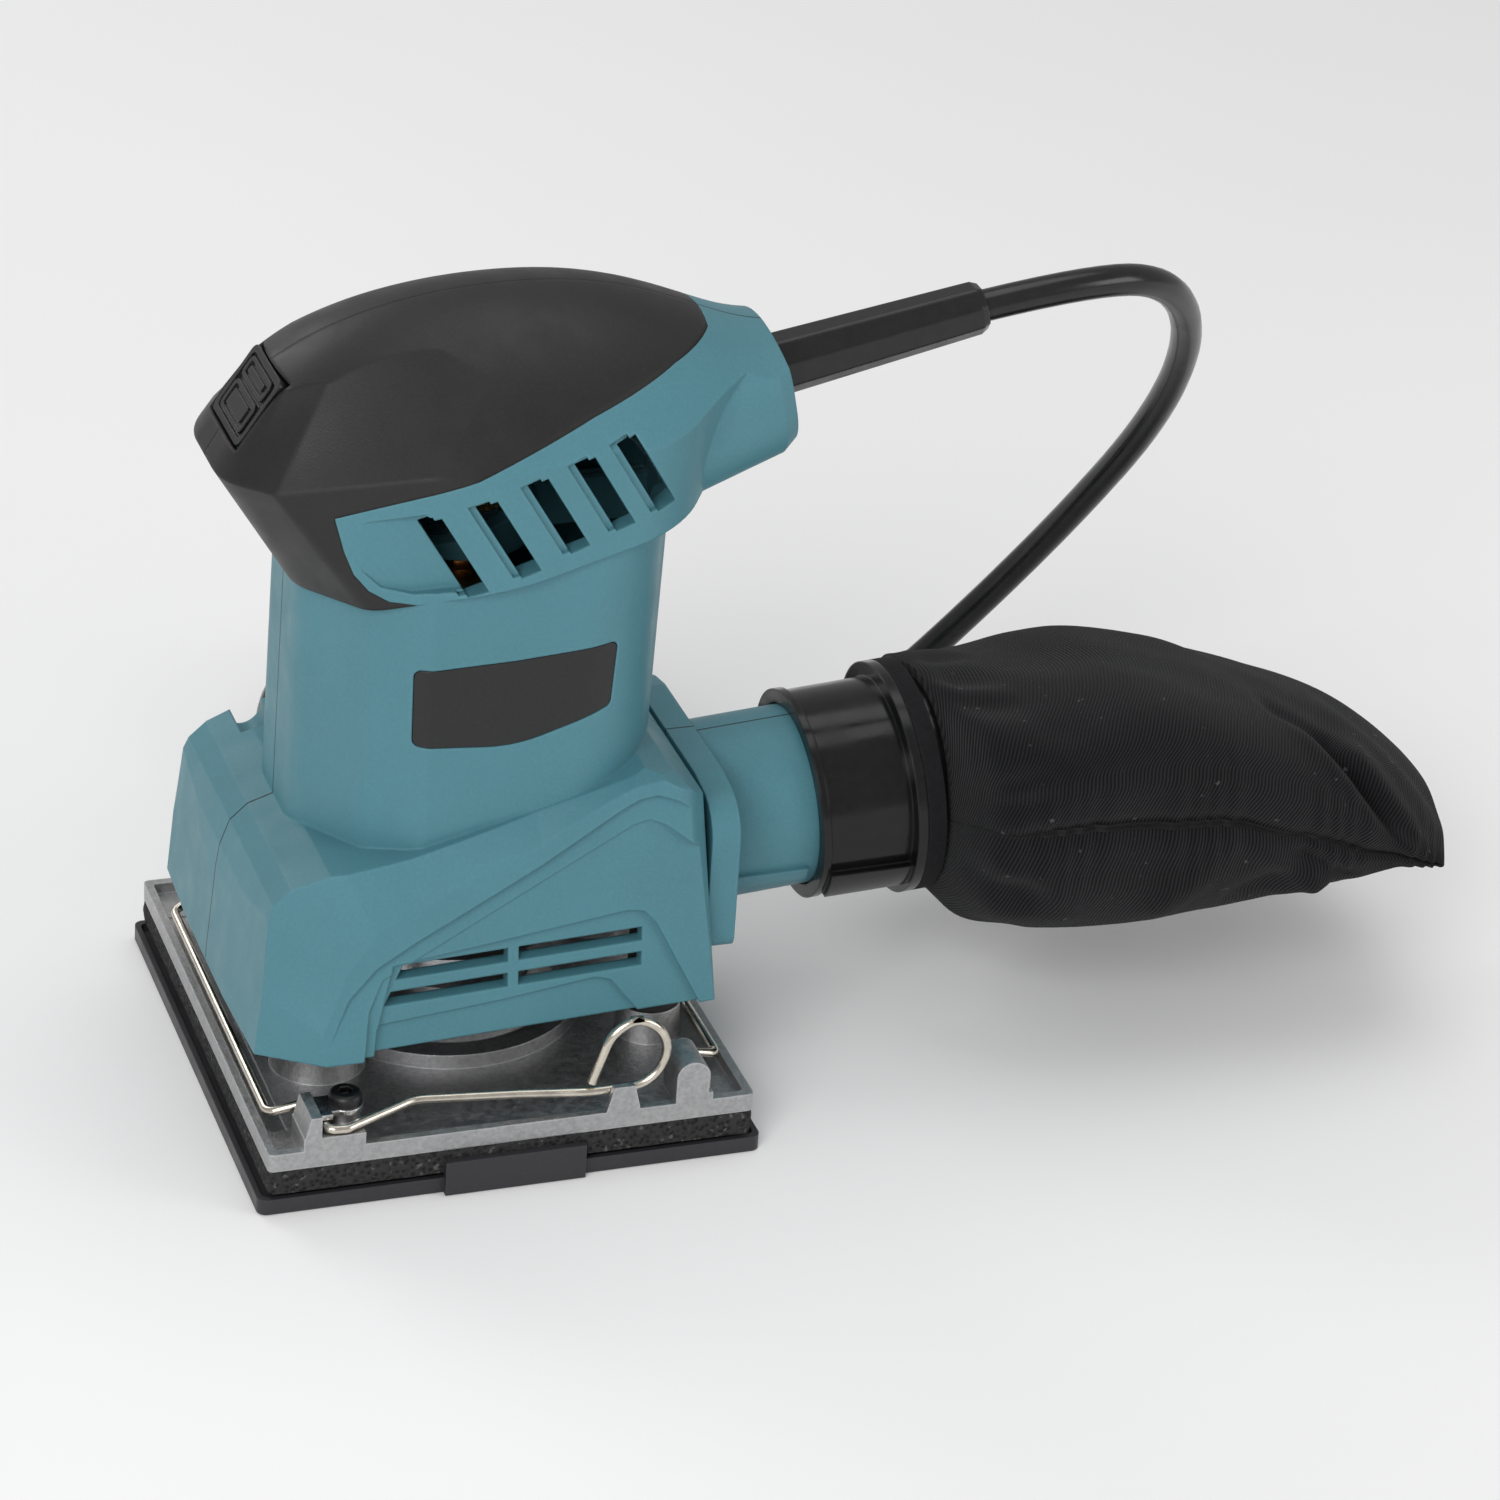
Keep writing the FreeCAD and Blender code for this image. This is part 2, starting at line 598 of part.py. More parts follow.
def clamp_side():
    """What the casting has for one clamp wire: its pivot post, its lever's catch and the far pivot's horn."""
    outer = -PAD_Y / 2
    post = box(-43, -30.5, outer, -45.2, FLOOR_TOP - 0.5, PIVOT_Z - WIRE_R - WIRE_RUN_R)
    wall = prism([V(-43, outer, FLOOR_TOP), V(-39.4, outer, FLOOR_TOP), V(-39.4, outer, 20.6),
                  V(-41.6, outer, 20.6),
                  V(-43, outer, 15)], V(0, 9.8, 0))
    boss = disc(3.0, -33.0, -48.0, 12, PIVOT_Z + WIRE_R + 0.15)
    catch = prism([V(18.6, outer, LIP_TOP - 1), V(26.2, outer, LIP_TOP - 1), V(24.7, outer, 18.8),
                   V(20.4, outer, 18.8)],
                  V(0, LIP - 0.3, 0))
    tab = fuse([box(33.4, 40.2, outer, outer + 1.6, LIP_TOP - 1, 19.0),
                Part.makeCylinder(3.4, 1.6, V(36.8, outer, 19.0), Y), box(40.2, 41.2, outer, outer + 1.6, 12, 15)])
    horn = box(34.6, 41.0, outer + 1.6, -43.4, FLOOR_TOP - 0.5, 18.0)
    horn = horn.fuse(Part.makeCylinder(3.2, 10.0, V(37.8, outer + 1.6, 18.0), Y))
    hole = Part.makeCylinder(WIRE_R + WIRE_RUN_R, 7.2, V(PIVOT_X, -50.3, PIVOT_Z), Y)
    tapped = disc(1.5, -33.0, -48.0, FLOOR_TOP, 30)
    return fuse([post, wall, boss, catch, tab, horn]).cut(hole).cut(tapped)


def make_platen():
    plate = corner_block(PAD_X, PAD_Y, FOAM_TOP, LIP_TOP, 1.2)
    tray = corner_block(PAD_X - 2 * LIP, PAD_Y - 2 * LIP, FLOOR_TOP, LIP_TOP + 1, 1.0)
    body = plate.cut(tray)
    hub = fuse([disc(29.0, 0, 0, FLOOR_TOP - 0.5, 14.0), Part.makeCone(24.0, 18.5, 6.0, V(0, 0, 14.0), Z),
                disc(17.0, ECCENTRIC, 0, 14, 22.5)])
    bosses = [Part.makeCone(boss + 0.5, boss, LEG_FOOT - FLOOR_TOP, V(x, y, FLOOR_TOP), Z) for x, y, boss, rubber in
              leg_sites()]
    ribs = [box(-43, -20, -1.2, 1.2, FLOOR_TOP - 0.5, 12.6), box(20, 43, -1.2, 1.2, FLOOR_TOP - 0.5, 12.6)]
    body = fuse([body, hub, clamp_side(), spun(clamp_side())] + bosses + ribs)
    body = body.cut(disc(PAD_BEARING_R, ECCENTRIC, 0, 13.5, 30)).cut(disc(10.5, ECCENTRIC, 0, 0, 30))
    for x, y, boss, rubber in leg_sites():
        body = body.cut(disc(2.1, x, y, 0, LEG_FOOT)).cut(disc(4.2, x, y, 0, FOAM_TOP + 2.6))
    groove = box(-BAR_X - 1.2, -BAR_X + 3.6, -43, 43, FLOOR_TOP - 0.3, FLOOR_TOP + 0.1)
    body = body.cut(groove).cut(spun(groove))
    save("platen", body)

    screws = []
    for x, y, boss, rubber in leg_sites():
        head = disc(3.8, x, y, FOAM_TOP + 0.1, FOAM_TOP + 2.6)
        screws.append(head.fuse(disc(2.0, x, y, FOAM_TOP + 2.6, LEG_FOOT)))
    save("leg_screws", Part.makeCompound(screws))
    legs = []
    for x, y, boss, rubber in leg_sites():
        leg = fuse([disc(rubber, x, y, LEG_FOOT, LEG_HEAD), disc(rubber + 1.2, x, y, LEG_FOOT, LEG_FOOT + 3)])
        legs.append(leg)
    save("flexible_legs", Part.makeCompound(legs))


def make_pad():
    foam = corner_block(PAD_X, PAD_Y, FOAM_LOW, FOAM_TOP, 1.5)
    save("foam_pad", foam)
    punch = corner_block(PAD_X + 4, PAD_Y + 1, 0, PUNCH_TOP - 1.2, 2.0)
    lip = corner_block(PAD_X + 4, PAD_Y + 1, PUNCH_TOP - 1.2, PUNCH_TOP, 2.0)
    lip = lip.cut(corner_block(PAD_X + 1.6, PAD_Y - 1.6, 0, 10, 1.5))
    clip = box(-14.5, 14.5, -PAD_Y / 2 - 2.0, -PAD_Y / 2 - 0.4, 0, 7.5)
    spikes = []
    for x in (-30, 0, 30):
        for y in (-35, 0, 35):
            if x or y:
                spikes.append(Part.makeCone(2.4, 1.2, 1.5, V(x, y, PUNCH_TOP - 1.2), Z))
    plate = fuse([punch, lip, clip, spun(clip)] + spikes)
    save("punch_plate", plate)


def clamp_wire():
    """A bar that grips the paper, two pivots, and a lever that ends in a finger loop."""
    half = math.radians(22.5)
    reach = LOOP_R * math.tan(half)
    centre = V(LOOP_X, -LEVER_Y, PIVOT_Z + LOOP_R)
    points = [V(-PIVOT_X, 49.5, PIVOT_Z), V(-PIVOT_X, BAR_Y + 0.8, PIVOT_Z),
              V(-BAR_X, BAR_Y - 1.0, BAR_Z), V(-BAR_X, -BAR_Y, BAR_Z),
              V(-PIVOT_X, -43.0, PIVOT_Z), V(-PIVOT_X, -54.0, PIVOT_Z), V(-34.2, -54.3, PIVOT_Z),
              V(-18.6, -47.0, PIVOT_Z), V(2.0, -49.8, PIVOT_Z), V(16.0, -LEVER_Y, PIVOT_Z)]
    radii = [1.6, 2.4, 2.4, 1.6, 1.7, 1.7, 7, 30, 30]
    for i in range(6):
        angle = math.radians(-67.5 + 45 * i)
        corner = LOOP_R / math.cos(half)
        points.append(centre + V(math.cos(angle) * corner, 0, math.sin(angle) * corner))
        radii.append(LOOP_R)
    points[-1] = centre + V(-LOOP_R, 0, -LOOP_R + 2.05)
    radii.pop()
    return sweep(tube_wire(points, radii), WIRE_R)


def make_clamps():
    wire = clamp_wire()
    save("clamp_wire_front", wire)
    save("clamp_wire_rear", spun(wire))
    low = PIVOT_Z + WIRE_R + 0.15
    plate = box(-39.0, -33.0, -51.0, -45.0, low, low + 1.1).fuse(disc(3.6, -33.0, -48.0, low, low + 1.1))
    plate = fuse([plate, box(-39.0, -36.5, -52.2, -51.0, low, low + 1.1)]).cut(disc(1.6, -33.0, -48.0, 0, 30))
    save("clamp_plates", Part.makeCompound([plate, spun(plate)]))
    head = Part.makeCylinder(3.4, 2.6, V(-33.0, -48.0, low + 1.1), Z)
    head = head.makeFillet(1.2, [edge for edge in head.Edges if edge.BoundBox.ZMin > low + 3])
    socket = prism([V(-33.0 + 1.5 * math.cos(math.radians(60 * i)), -48.0 + 1.5 * math.sin(math.radians(60 * i)),
                      low + 2.2) for i in range(6)], V(0, 0, 3))
    screw = head.cut(socket).fuse(disc(1.45, -33.0, -48.0, FLOOR_TOP + 0.4, low + 1.1))
    save("clamp_screws", Part.makeCompound([screw, spun(screw)]))


# ---------------------------------------------------------------- motor

def make_stator():
    core = ring(FIELD_R, 22.5, 0, 0, CORE_LOW, CORE_TOP)
    poles = ring(22.6, ARMATURE_R + 0.7, 0, 0, CORE_LOW, CORE_TOP).common(box(-30, 30, -13, 13, 0, 200))
    save("field_core", core.fuse(poles).removeSplitter())
    coils = ring(22.2, ARMATURE_R + 1.3, 0, 0, CORE_LOW - 3.5, CORE_TOP + 4)
    coils = coils.cut(box(-30, 30, -13.3, 13.3, CORE_LOW - 0.2, CORE_TOP + 0.2))
    coils = coils.cut(box(-0.5, 0.5, -30, 30, 0, 200))
    save("field_coils", coils)
    plate = disc(36, 0, 0, 59.0, 61.5).common(fuse([base_block(WALL + 0.4), neck_block(WALL + 0.4)]))
    plate = fuse([plate, disc(LOWER_BEARING_R + 3, 0, 0, 49.5, 59.2)])
    plate = plate.cut(disc(LOWER_BEARING_R, 0, 0, 51, 59)).cut(disc(LOWER_SHAFT_R + 2.5, 0, 0, 40, 70))
    for i in range(8):
        angle = math.radians(45 * i + 22.5)
        plate = plate.cut(disc(4.0, 26 * math.cos(angle), 26 * math.sin(angle), 50, 70))
    save("bearing_plate", plate)
    save("lower_bearing", ring(LOWER_BEARING_R, LOWER_SHAFT_R, 0, 0, 51, 59))
    save("upper_bearing", ring(UPPER_BEARING_R, SHAFT_R, 0, 0, 119.5, 126.5))
    holders = []
    brushes = []
    springs = []
    for side in (-1, 1):
        holder = box(-4.2, 4.2, 11.2, 29.5, BRUSH_Z - 5.5, BRUSH_Z + 5.5)
        holder = holder.cut(box(-3.2, 3.2, 0, 28.3, BRUSH_Z - 4.5, BRUSH_Z + 4.5))
        brush = box(-3.1, 3.1, COMMUTATOR_R + 0.15, 20.0, BRUSH_Z - 4.4, BRUSH_Z + 4.4)
        spring = spring_coil(2.6, 0.45, 20.6, 27.8, 5)
        for group, shape in ((holders, holder), (brushes, brush), (springs, spring)):
            group.append(shape if side > 0 else spun(shape))
    save("brush_holders", Part.makeCompound(holders))
    save("carbon_brushes", Part.makeCompound(brushes))
    save("brush_springs", Part.makeCompound(springs))


def spring_coil(radius, wire, y0, y1, turns):
    """A compression spring from y0 to y1 on the brush's line."""
    height = y1 - y0 - 2 * wire
    helix = Part.makeHelix(height / turns, height, radius)
    profile = Part.Wire(Part.makeCircle(wire, V(radius, 0, 0), Y))
    coil = Part.Wire(helix).makePipeShell([profile], True, True)
    coil.rotate(V(0, 0, 0), X, -90)
    coil.translate(V(0, y0 + wire, BRUSH_Z))
    return coil


def make_rotor():
    shaft = fuse([disc(SHAFT_R, 0, 0, 61.5, 119.0), disc(SHAFT_R - BEARING_RUN, 0, 0, 119.0, 129.0),
                  disc(LOWER_SHAFT_R - BEARING_RUN, 0, 0, 49.0, 61.5), disc(5.0, 0, 0, 30.0, 49.0)])
    save("motor_shaft", shaft)
    pin = disc(PIN_R - BEARING_RUN, ECCENTRIC, 0, 13.6, 25.0)
    pin = pin.fuse(disc(8.0, 0, 0, 25.0, 30.0)).removeSplitter()
    pin = pin.cut(disc(2.4, ECCENTRIC, 0, 0, 22))
    save("eccentric_pin", pin)
    screw = fuse([disc(2.4, ECCENTRIC, 0, 13.4, 21.5), disc(6.0, ECCENTRIC, 0, 12.5, 13.4),
                  disc(4.3, ECCENTRIC, 0, 9.9, 12.5)])
    save("pad_screw", screw)
    weight = disc(24.0, 0, 0, 30.0, 35.0).common(box(-30, 2, -30, 30, 0, 60))
    weight = weight.fuse(disc(10.0, 0, 0, 30.0, 35.0))
    save("counterweight", weight.cut(disc(5.0, 0, 0, 20, 60)).removeSplitter())
    blades = []
    for i in range(14):
        blade = box(10, FAN_R - 0.5, -0.7, 0.7, 36.4, 47.0)
        blade.rotate(V(10, 0, 0), Z, 24)
        blade.rotate(V(0, 0, 0), Z, 360 / 14 * i)
        blades.append(blade)
    fan = fuse([disc(FAN_R, 0, 0, 35.2, 36.6), disc(9.0, 0, 0, 35.2, 48.0)] + blades)
    save("cooling_fan", fan.cut(disc(5.0, 0, 0, 20, 60)).common(disc(FAN_R, 0, 0, 30, 60)))
    core = disc(ARMATURE_R, 0, 0, CORE_LOW, CORE_TOP).cut(disc(SHAFT_R, 0, 0, 0, 200))
    winding = ring(14.2, SHAFT_R + 1.0, 0, 0, 62.2, CORE_LOW)
    winding = winding.fuse(ring(13.6, SHAFT_R + 1.0, 0, 0, CORE_TOP, 103.2))
    for i in range(12):
        slot = box(9.5, 20, -1.1, 1.1, CORE_LOW, CORE_TOP)
        slot.rotate(V(0, 0, 0), Z, 30 * i)
        fill = box(9.5, 14.0, -1.1, 1.1, CORE_LOW, CORE_TOP)
        fill.rotate(V(0, 0, 0), Z, 30 * i)
        core = core.cut(slot)
        winding = winding.fuse(fill)
    save("armature_core", core)
    save("armature_windings", winding.removeSplitter())
    bars = ring(COMMUTATOR_R, SHAFT_R, 0, 0, 103.2, 116.0)
    for i in range(16):
        slit = box(COMMUTATOR_R - 1.4, COMMUTATOR_R + 1, -0.25, 0.25, 104.6, 117)
        slit.rotate(V(0, 0, 0), Z, 22.5 * i)
        bars = bars.cut(slit)
    save("commutator", bars)
    save("pad_bearing", ring(PAD_BEARING_R, PIN_R, ECCENTRIC, 0, 13.5, 21.5))


# ---------------------------------------------------------------- switch and mains lead

def switch_pad(middle, half_across, half_up, low, high, radius):
    """A block with rounded corners on the switch's face, its centre the given way up it."""
    corners = [V(-half_across, middle - half_up, low), V(-half_across, middle + half_up, low),
               V(half_across, middle + half_up, low), V(half_across, middle - half_up, low)]
    pad = Part.Face(rounded_wire(corners, [radius] * 4)).extrude(V(0, 0, high - low))
    pad.Placement = switch_placement()
    return pad


def make_switch():
    across = SWITCH_W / 2
    up = SWITCH_H / 2
    button = switch_pad(0, across, up, -5.0, 1.4, 1.8)
    button = button.cut(switch_pad(0, across - 1.3, up - 1.3, 0.8, 2.0, 1.4))
    for middle, half in ((up - 4.0, 2.2), (-up + 5.0, 3.2)):
        button = button.fuse(switch_pad(middle, across - 2.4, half, 0.7, 1.6, 1.4))
        button = button.cut(switch_pad(middle, across - 3.5, half - 0.8, 1.1, 2.0, 0.7))
        button = button.fuse(switch_pad(middle, across - 4.8, half - 1.5, 1.0, 1.7, 0.5))
    save("switch_button", button.removeSplitter())
    save("switch_rocker", switch_box(4.0, 2.6, -6.3, -5.0))
    body = switch_box(8.5, 6.2, -21.0, -6.6).cut(switch_box(4.8, 4.4, -9.0, -6.0))
    save("switch_body", body)
    save("suppression_capacitor", box(6, 24, 13, 21, 130.5, 142))


def guard_section(distance, width):
    """A flat-sided eight-cornered outline across the guard."""
    middle = along(GUARD_START, guard_direction(), distance)
    tilt = math.radians(GUARD_TILT)
    up = V(-math.sin(tilt), 0, math.cos(tilt))
    corners = []
    for i in range(8):
        angle = math.radians(22.5 + 45 * i)
        corners.append(middle + Y * (width / 2 * math.cos(angle)) + up * (width / 2 * math.sin(angle)))
    return rounded_wire(corners, [1.0] * 8)


def make_guard():
    end = GUARD_LENGTH
    body = loft([guard_section(4.2, 13.4), guard_section(end - 1.4, 11.0)])
    body = body.fuse(loft([guard_section(end - 1.4, 11.0), guard_section(end, 9.6)]))
    flange = guard_cylinder(8.5, -0.2, 2.0).fuse(guard_cylinder(6.1, 2.0, 4.4))
    guard = fuse([body, flange]).cut(guard_cylinder(CORD_R, -5, end + 5))
    save("cord_guard", guard)
    strap = box(37.6, 43.6, -9.0, 9.0, 147.2, 149.4)
    strap = strap.fuse(box(38.6, 42.6, -2.6, 2.6, 146.4, 147.2))
    strap = strap.cut(disc(1.3, 40.6, -6.6, 140, 160)).cut(disc(1.3, 40.6, 6.6, 140, 160))
    save("cord_clamp", strap)
    screws = []
    for y in (-6.6, 6.6):
        screws.append(disc(1.3, 40.6, y, 140.0, 147.2).fuse(disc(2.8, 40.6, y, 149.4, 151.4)).fuse(
            disc(1.3, 40.6, y, 147.2, 149.4)))
    save("cord_clamp_screws", Part.makeCompound(screws))


def cord_start():
    return along(GUARD_START, guard_direction(), GUARD_LENGTH)


def make_cord():
    points = [cord_start()] + [V(*point) for point in CORD_POINTS]
    radii = []
    for i in range(1, len(points) - 1):
        back = points[i - 1] - points[i]
        ahead = points[i + 1] - points[i]
        turn = math.pi - back.getAngle(ahead)
        radii.append(0.45 * min(back.Length, ahead.Length) / math.tan(turn / 2))
    path = tube_wire(points, radii)
    cord = sweep(path, CORD_R)
    print("cord radii", [round(radius, 1) for radius in radii])
    print("cord length %.1f, volume over section %.1f" % (path.Length, cord.Volume / (math.pi * CORD_R ** 2)))
    save("power_cord", cord)

    layer = 2 * CORD_R
    top = COIL_LAYERS * layer
    coil = ring(COIL_OUTER, COIL_INNER, COIL_X, COIL_Y, 0.1, top)
    rise = ring(COIL_OUTER - 1.5, COIL_INNER + 6.5, COIL_X, COIL_Y, top, top + layer)
    rise = rise.common(box(COIL_X + 6, COIL_X + 60, COIL_Y - 60, COIL_Y + 60, 0, 60))
    coil = coil.fuse(rise).removeSplitter()
    save("cord_coil", coil)
    tie = box(COIL_INNER - 4, COIL_OUTER + 1.2, -5, 5, 0, top + 1.1)
    tie.rotate(V(0, 0, 0), Z, TIE_ANGLE)
    tie.translate(V(COIL_X, COIL_Y, 0))
    save("cord_tie", tie.cut(ring(COIL_OUTER, COIL_INNER, COIL_X, COIL_Y, -1, top)))
    body = box(COIL_X - 34, COIL_X - 6, PLUG_Y - 9, PLUG_Y + 9, top + 0.1, top + 12.0)
    body = body.makeFillet(3.0, [edge for edge in body.Edges if edge.Length > 20])
    gland = Part.makeCone(6.0, 4.4, 10.0, V(COIL_X - 6, PLUG_Y, top + 5.2), X)
    save("plug_body", body.fuse(gland.common(box(0, 80, 0, 200, top + 0.1, 60))).removeSplitter())
    pins = []
    for side in (-1, 1):
        pins.append(Part.makeCylinder(2.4, 19.0, V(COIL_X - 34, PLUG_Y + side * 5.6, top + 6.0), -X))
    save("plug_pins", Part.makeCompound(pins))


# ---------------------------------------------------------------- dust bag

# Sections across the bag: x, middle height, half width, half height, corner radius.
BAG_STATIONS = [(102.4, 53.5, 25.0, 24.0, 21), (113, 54.0, 36.0, 26.5, 24), (140, 53.0, 41.0, 27.0, 25),
                (172, 50.0, 42.0, 22.5, 20), (198, 45.0, 41.0, 15.0, 12), (216, 39.5, 37.0, 6.0, 5)]


def make_bag():
    gap = PORT_OD / 2 + COLLAR_GAP
    collar = port_cylinder(COLLAR_OD / 2, COLLAR_FRONT, COLLAR_BACK)
    rim = port_cylinder(COLLAR_OD / 2 + 0.7, COLLAR_FRONT, COLLAR_FRONT + 1.8)
    flange = port_cylinder(COLLAR_RING_OD / 2, COLLAR_BACK - 2.2, COLLAR_BACK)
    key = port_cylinder(COLLAR_OD / 2 + 1.9, COLLAR_FRONT + 1.8, COLLAR_BACK - 2.2)
    key = key.common(fuse([box(60, 110, -60, 0, 34.0, 41.5), box(60, 110, 0, 60, 34.0, 41.5)]))
    tail = port_cylinder(COLLAR_OD / 2 - 1.0, COLLAR_BACK, COLLAR_BACK + 8)
    collar = fuse([collar, rim, flange, key, tail])
    collar = collar.cut(port_cylinder(gap, COLLAR_FRONT - 5, PORT_LENGTH + 4))
    collar = collar.cut(port_cylinder(PORT_ID / 2, 0, 80))
    save("bag_collar", collar)
    start = COLLAR_BACK + 0.1
    band = port_cylinder(COLLAR_RING_OD / 2, start, COLLAR_BACK + 4)
    band = band.cut(port_cylinder(COLLAR_OD / 2 - 0.95, 0, 80))
    save("bag_band", band)
    wires = []
    for x, z, half_y, half_z, radius in BAG_STATIONS:
        corners = [V(x, -half_y, z - half_z), V(x, -half_y, z + half_z), V(x, half_y, z + half_z),
                   V(x, half_y, z - half_z)]
        wires.append(rounded_wire(corners, [radius] * 4))
    bag = Part.makeLoft(wires, True, False)
    save("dust_bag", bag.cut(port_cylinder(COLLAR_OD / 2 - 0.9, 0, COLLAR_BACK + 8.2)))


if __name__ == "__main__":
    os.makedirs("parts", exist_ok=True)
    make_housing()
    make_platen()
    make_pad()
    make_clamps()
    make_stator()
    make_rotor()
    make_switch()
    make_guard()
    make_cord()
    make_bag()
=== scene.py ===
import json
import math

import bmesh
import bpy
from mathutils import Matrix, Vector, noise


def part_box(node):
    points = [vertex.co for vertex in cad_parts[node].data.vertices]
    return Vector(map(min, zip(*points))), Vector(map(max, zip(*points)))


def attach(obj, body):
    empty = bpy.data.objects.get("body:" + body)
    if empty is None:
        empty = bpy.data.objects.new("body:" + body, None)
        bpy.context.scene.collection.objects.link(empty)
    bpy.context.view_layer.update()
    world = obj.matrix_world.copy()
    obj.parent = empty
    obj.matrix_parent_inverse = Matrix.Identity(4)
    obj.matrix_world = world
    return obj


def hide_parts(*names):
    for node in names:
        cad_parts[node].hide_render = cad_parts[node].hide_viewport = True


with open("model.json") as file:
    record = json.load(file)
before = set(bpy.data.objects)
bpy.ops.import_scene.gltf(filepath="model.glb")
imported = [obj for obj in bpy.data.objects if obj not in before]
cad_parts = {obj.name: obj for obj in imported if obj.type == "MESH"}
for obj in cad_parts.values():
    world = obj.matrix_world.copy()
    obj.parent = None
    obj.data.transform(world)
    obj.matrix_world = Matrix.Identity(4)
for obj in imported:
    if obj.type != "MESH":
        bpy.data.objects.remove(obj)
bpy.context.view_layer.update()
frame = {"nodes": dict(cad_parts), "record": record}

scene = bpy.context.scene
nodes = frame["nodes"]

# ---------------------------------------------------------------- camera
CAM_AZIMUTH = math.radians(-20.8)
CAM_ELEVATION = math.radians(28.18)
CAM_ROLL = math.radians(4.096)
CAM_DISTANCE = 1.031079
CAM_AIM = Vector((0.0646668, 0.0, 0.060982))
CAM_LENS = 120.0
CAM_SENSOR = 36.0


def make_camera():
    """The camera at the photograph's viewing angle."""
    back = Vector((math.sin(CAM_AZIMUTH) * math.cos(CAM_ELEVATION),
                   -math.cos(CAM_AZIMUTH) * math.cos(CAM_ELEVATION), math.sin(CAM_ELEVATION)))
    right = Vector((math.cos(CAM_AZIMUTH), math.sin(CAM_AZIMUTH), 0))
    up = back.cross(right)
    image_right = right * math.cos(CAM_ROLL) + up * math.sin(CAM_ROLL)
    image_up = up * math.cos(CAM_ROLL) - right * math.sin(CAM_ROLL)
    data = bpy.data.cameras.new("camera")
    data.lens = CAM_LENS
    data.sensor_width = CAM_SENSOR
    data.clip_start = 0.05
    data.clip_end = 20
    camera = bpy.data.objects.new("camera", data)
    scene.collection.objects.link(camera)
    turn = Matrix((image_right, image_up, back)).transposed()
    camera.matrix_world = Matrix.Translation(CAM_AIM + back * CAM_DISTANCE) @ turn.to_4x4()
    scene.camera = camera


# ---------------------------------------------------------------- small helpers
def link(obj):
    scene.collection.objects.link(obj)
    return obj


def mesh_object(name, verts, faces):
    """A smooth-shaded mesh object from plain lists."""
    mesh = bpy.data.meshes.new(name)
    mesh.from_pydata([tuple(v) for v in verts], [], faces)
    mesh.validate()
    bm = bmesh.new()
    bm.from_mesh(mesh)
    bmesh.ops.recalc_face_normals(bm, faces=bm.faces)
    bm.to_mesh(mesh)
    bm.free()
    for poly in mesh.polygons:
        poly.use_smooth = True
    return link(bpy.data.objects.new(name, mesh))


def smooth_by_angle(mesh, angle):
    """Shades smooth, with edges sharper than the angle left crisp."""
    bm = bmesh.new()
    bm.from_mesh(mesh)
    limit = math.radians(angle)
    sharp = []
    for edge in bm.edges:
        if len(edge.link_faces) != 2:
            sharp.append(edge.index)
            continue
        if edge.calc_face_angle(0) > limit:
            sharp.append(edge.index)
    bm.free()
    for poly in mesh.polygons:
        poly.use_smooth = True
    for index in sharp:
        mesh.edges[index].use_edge_sharp = True


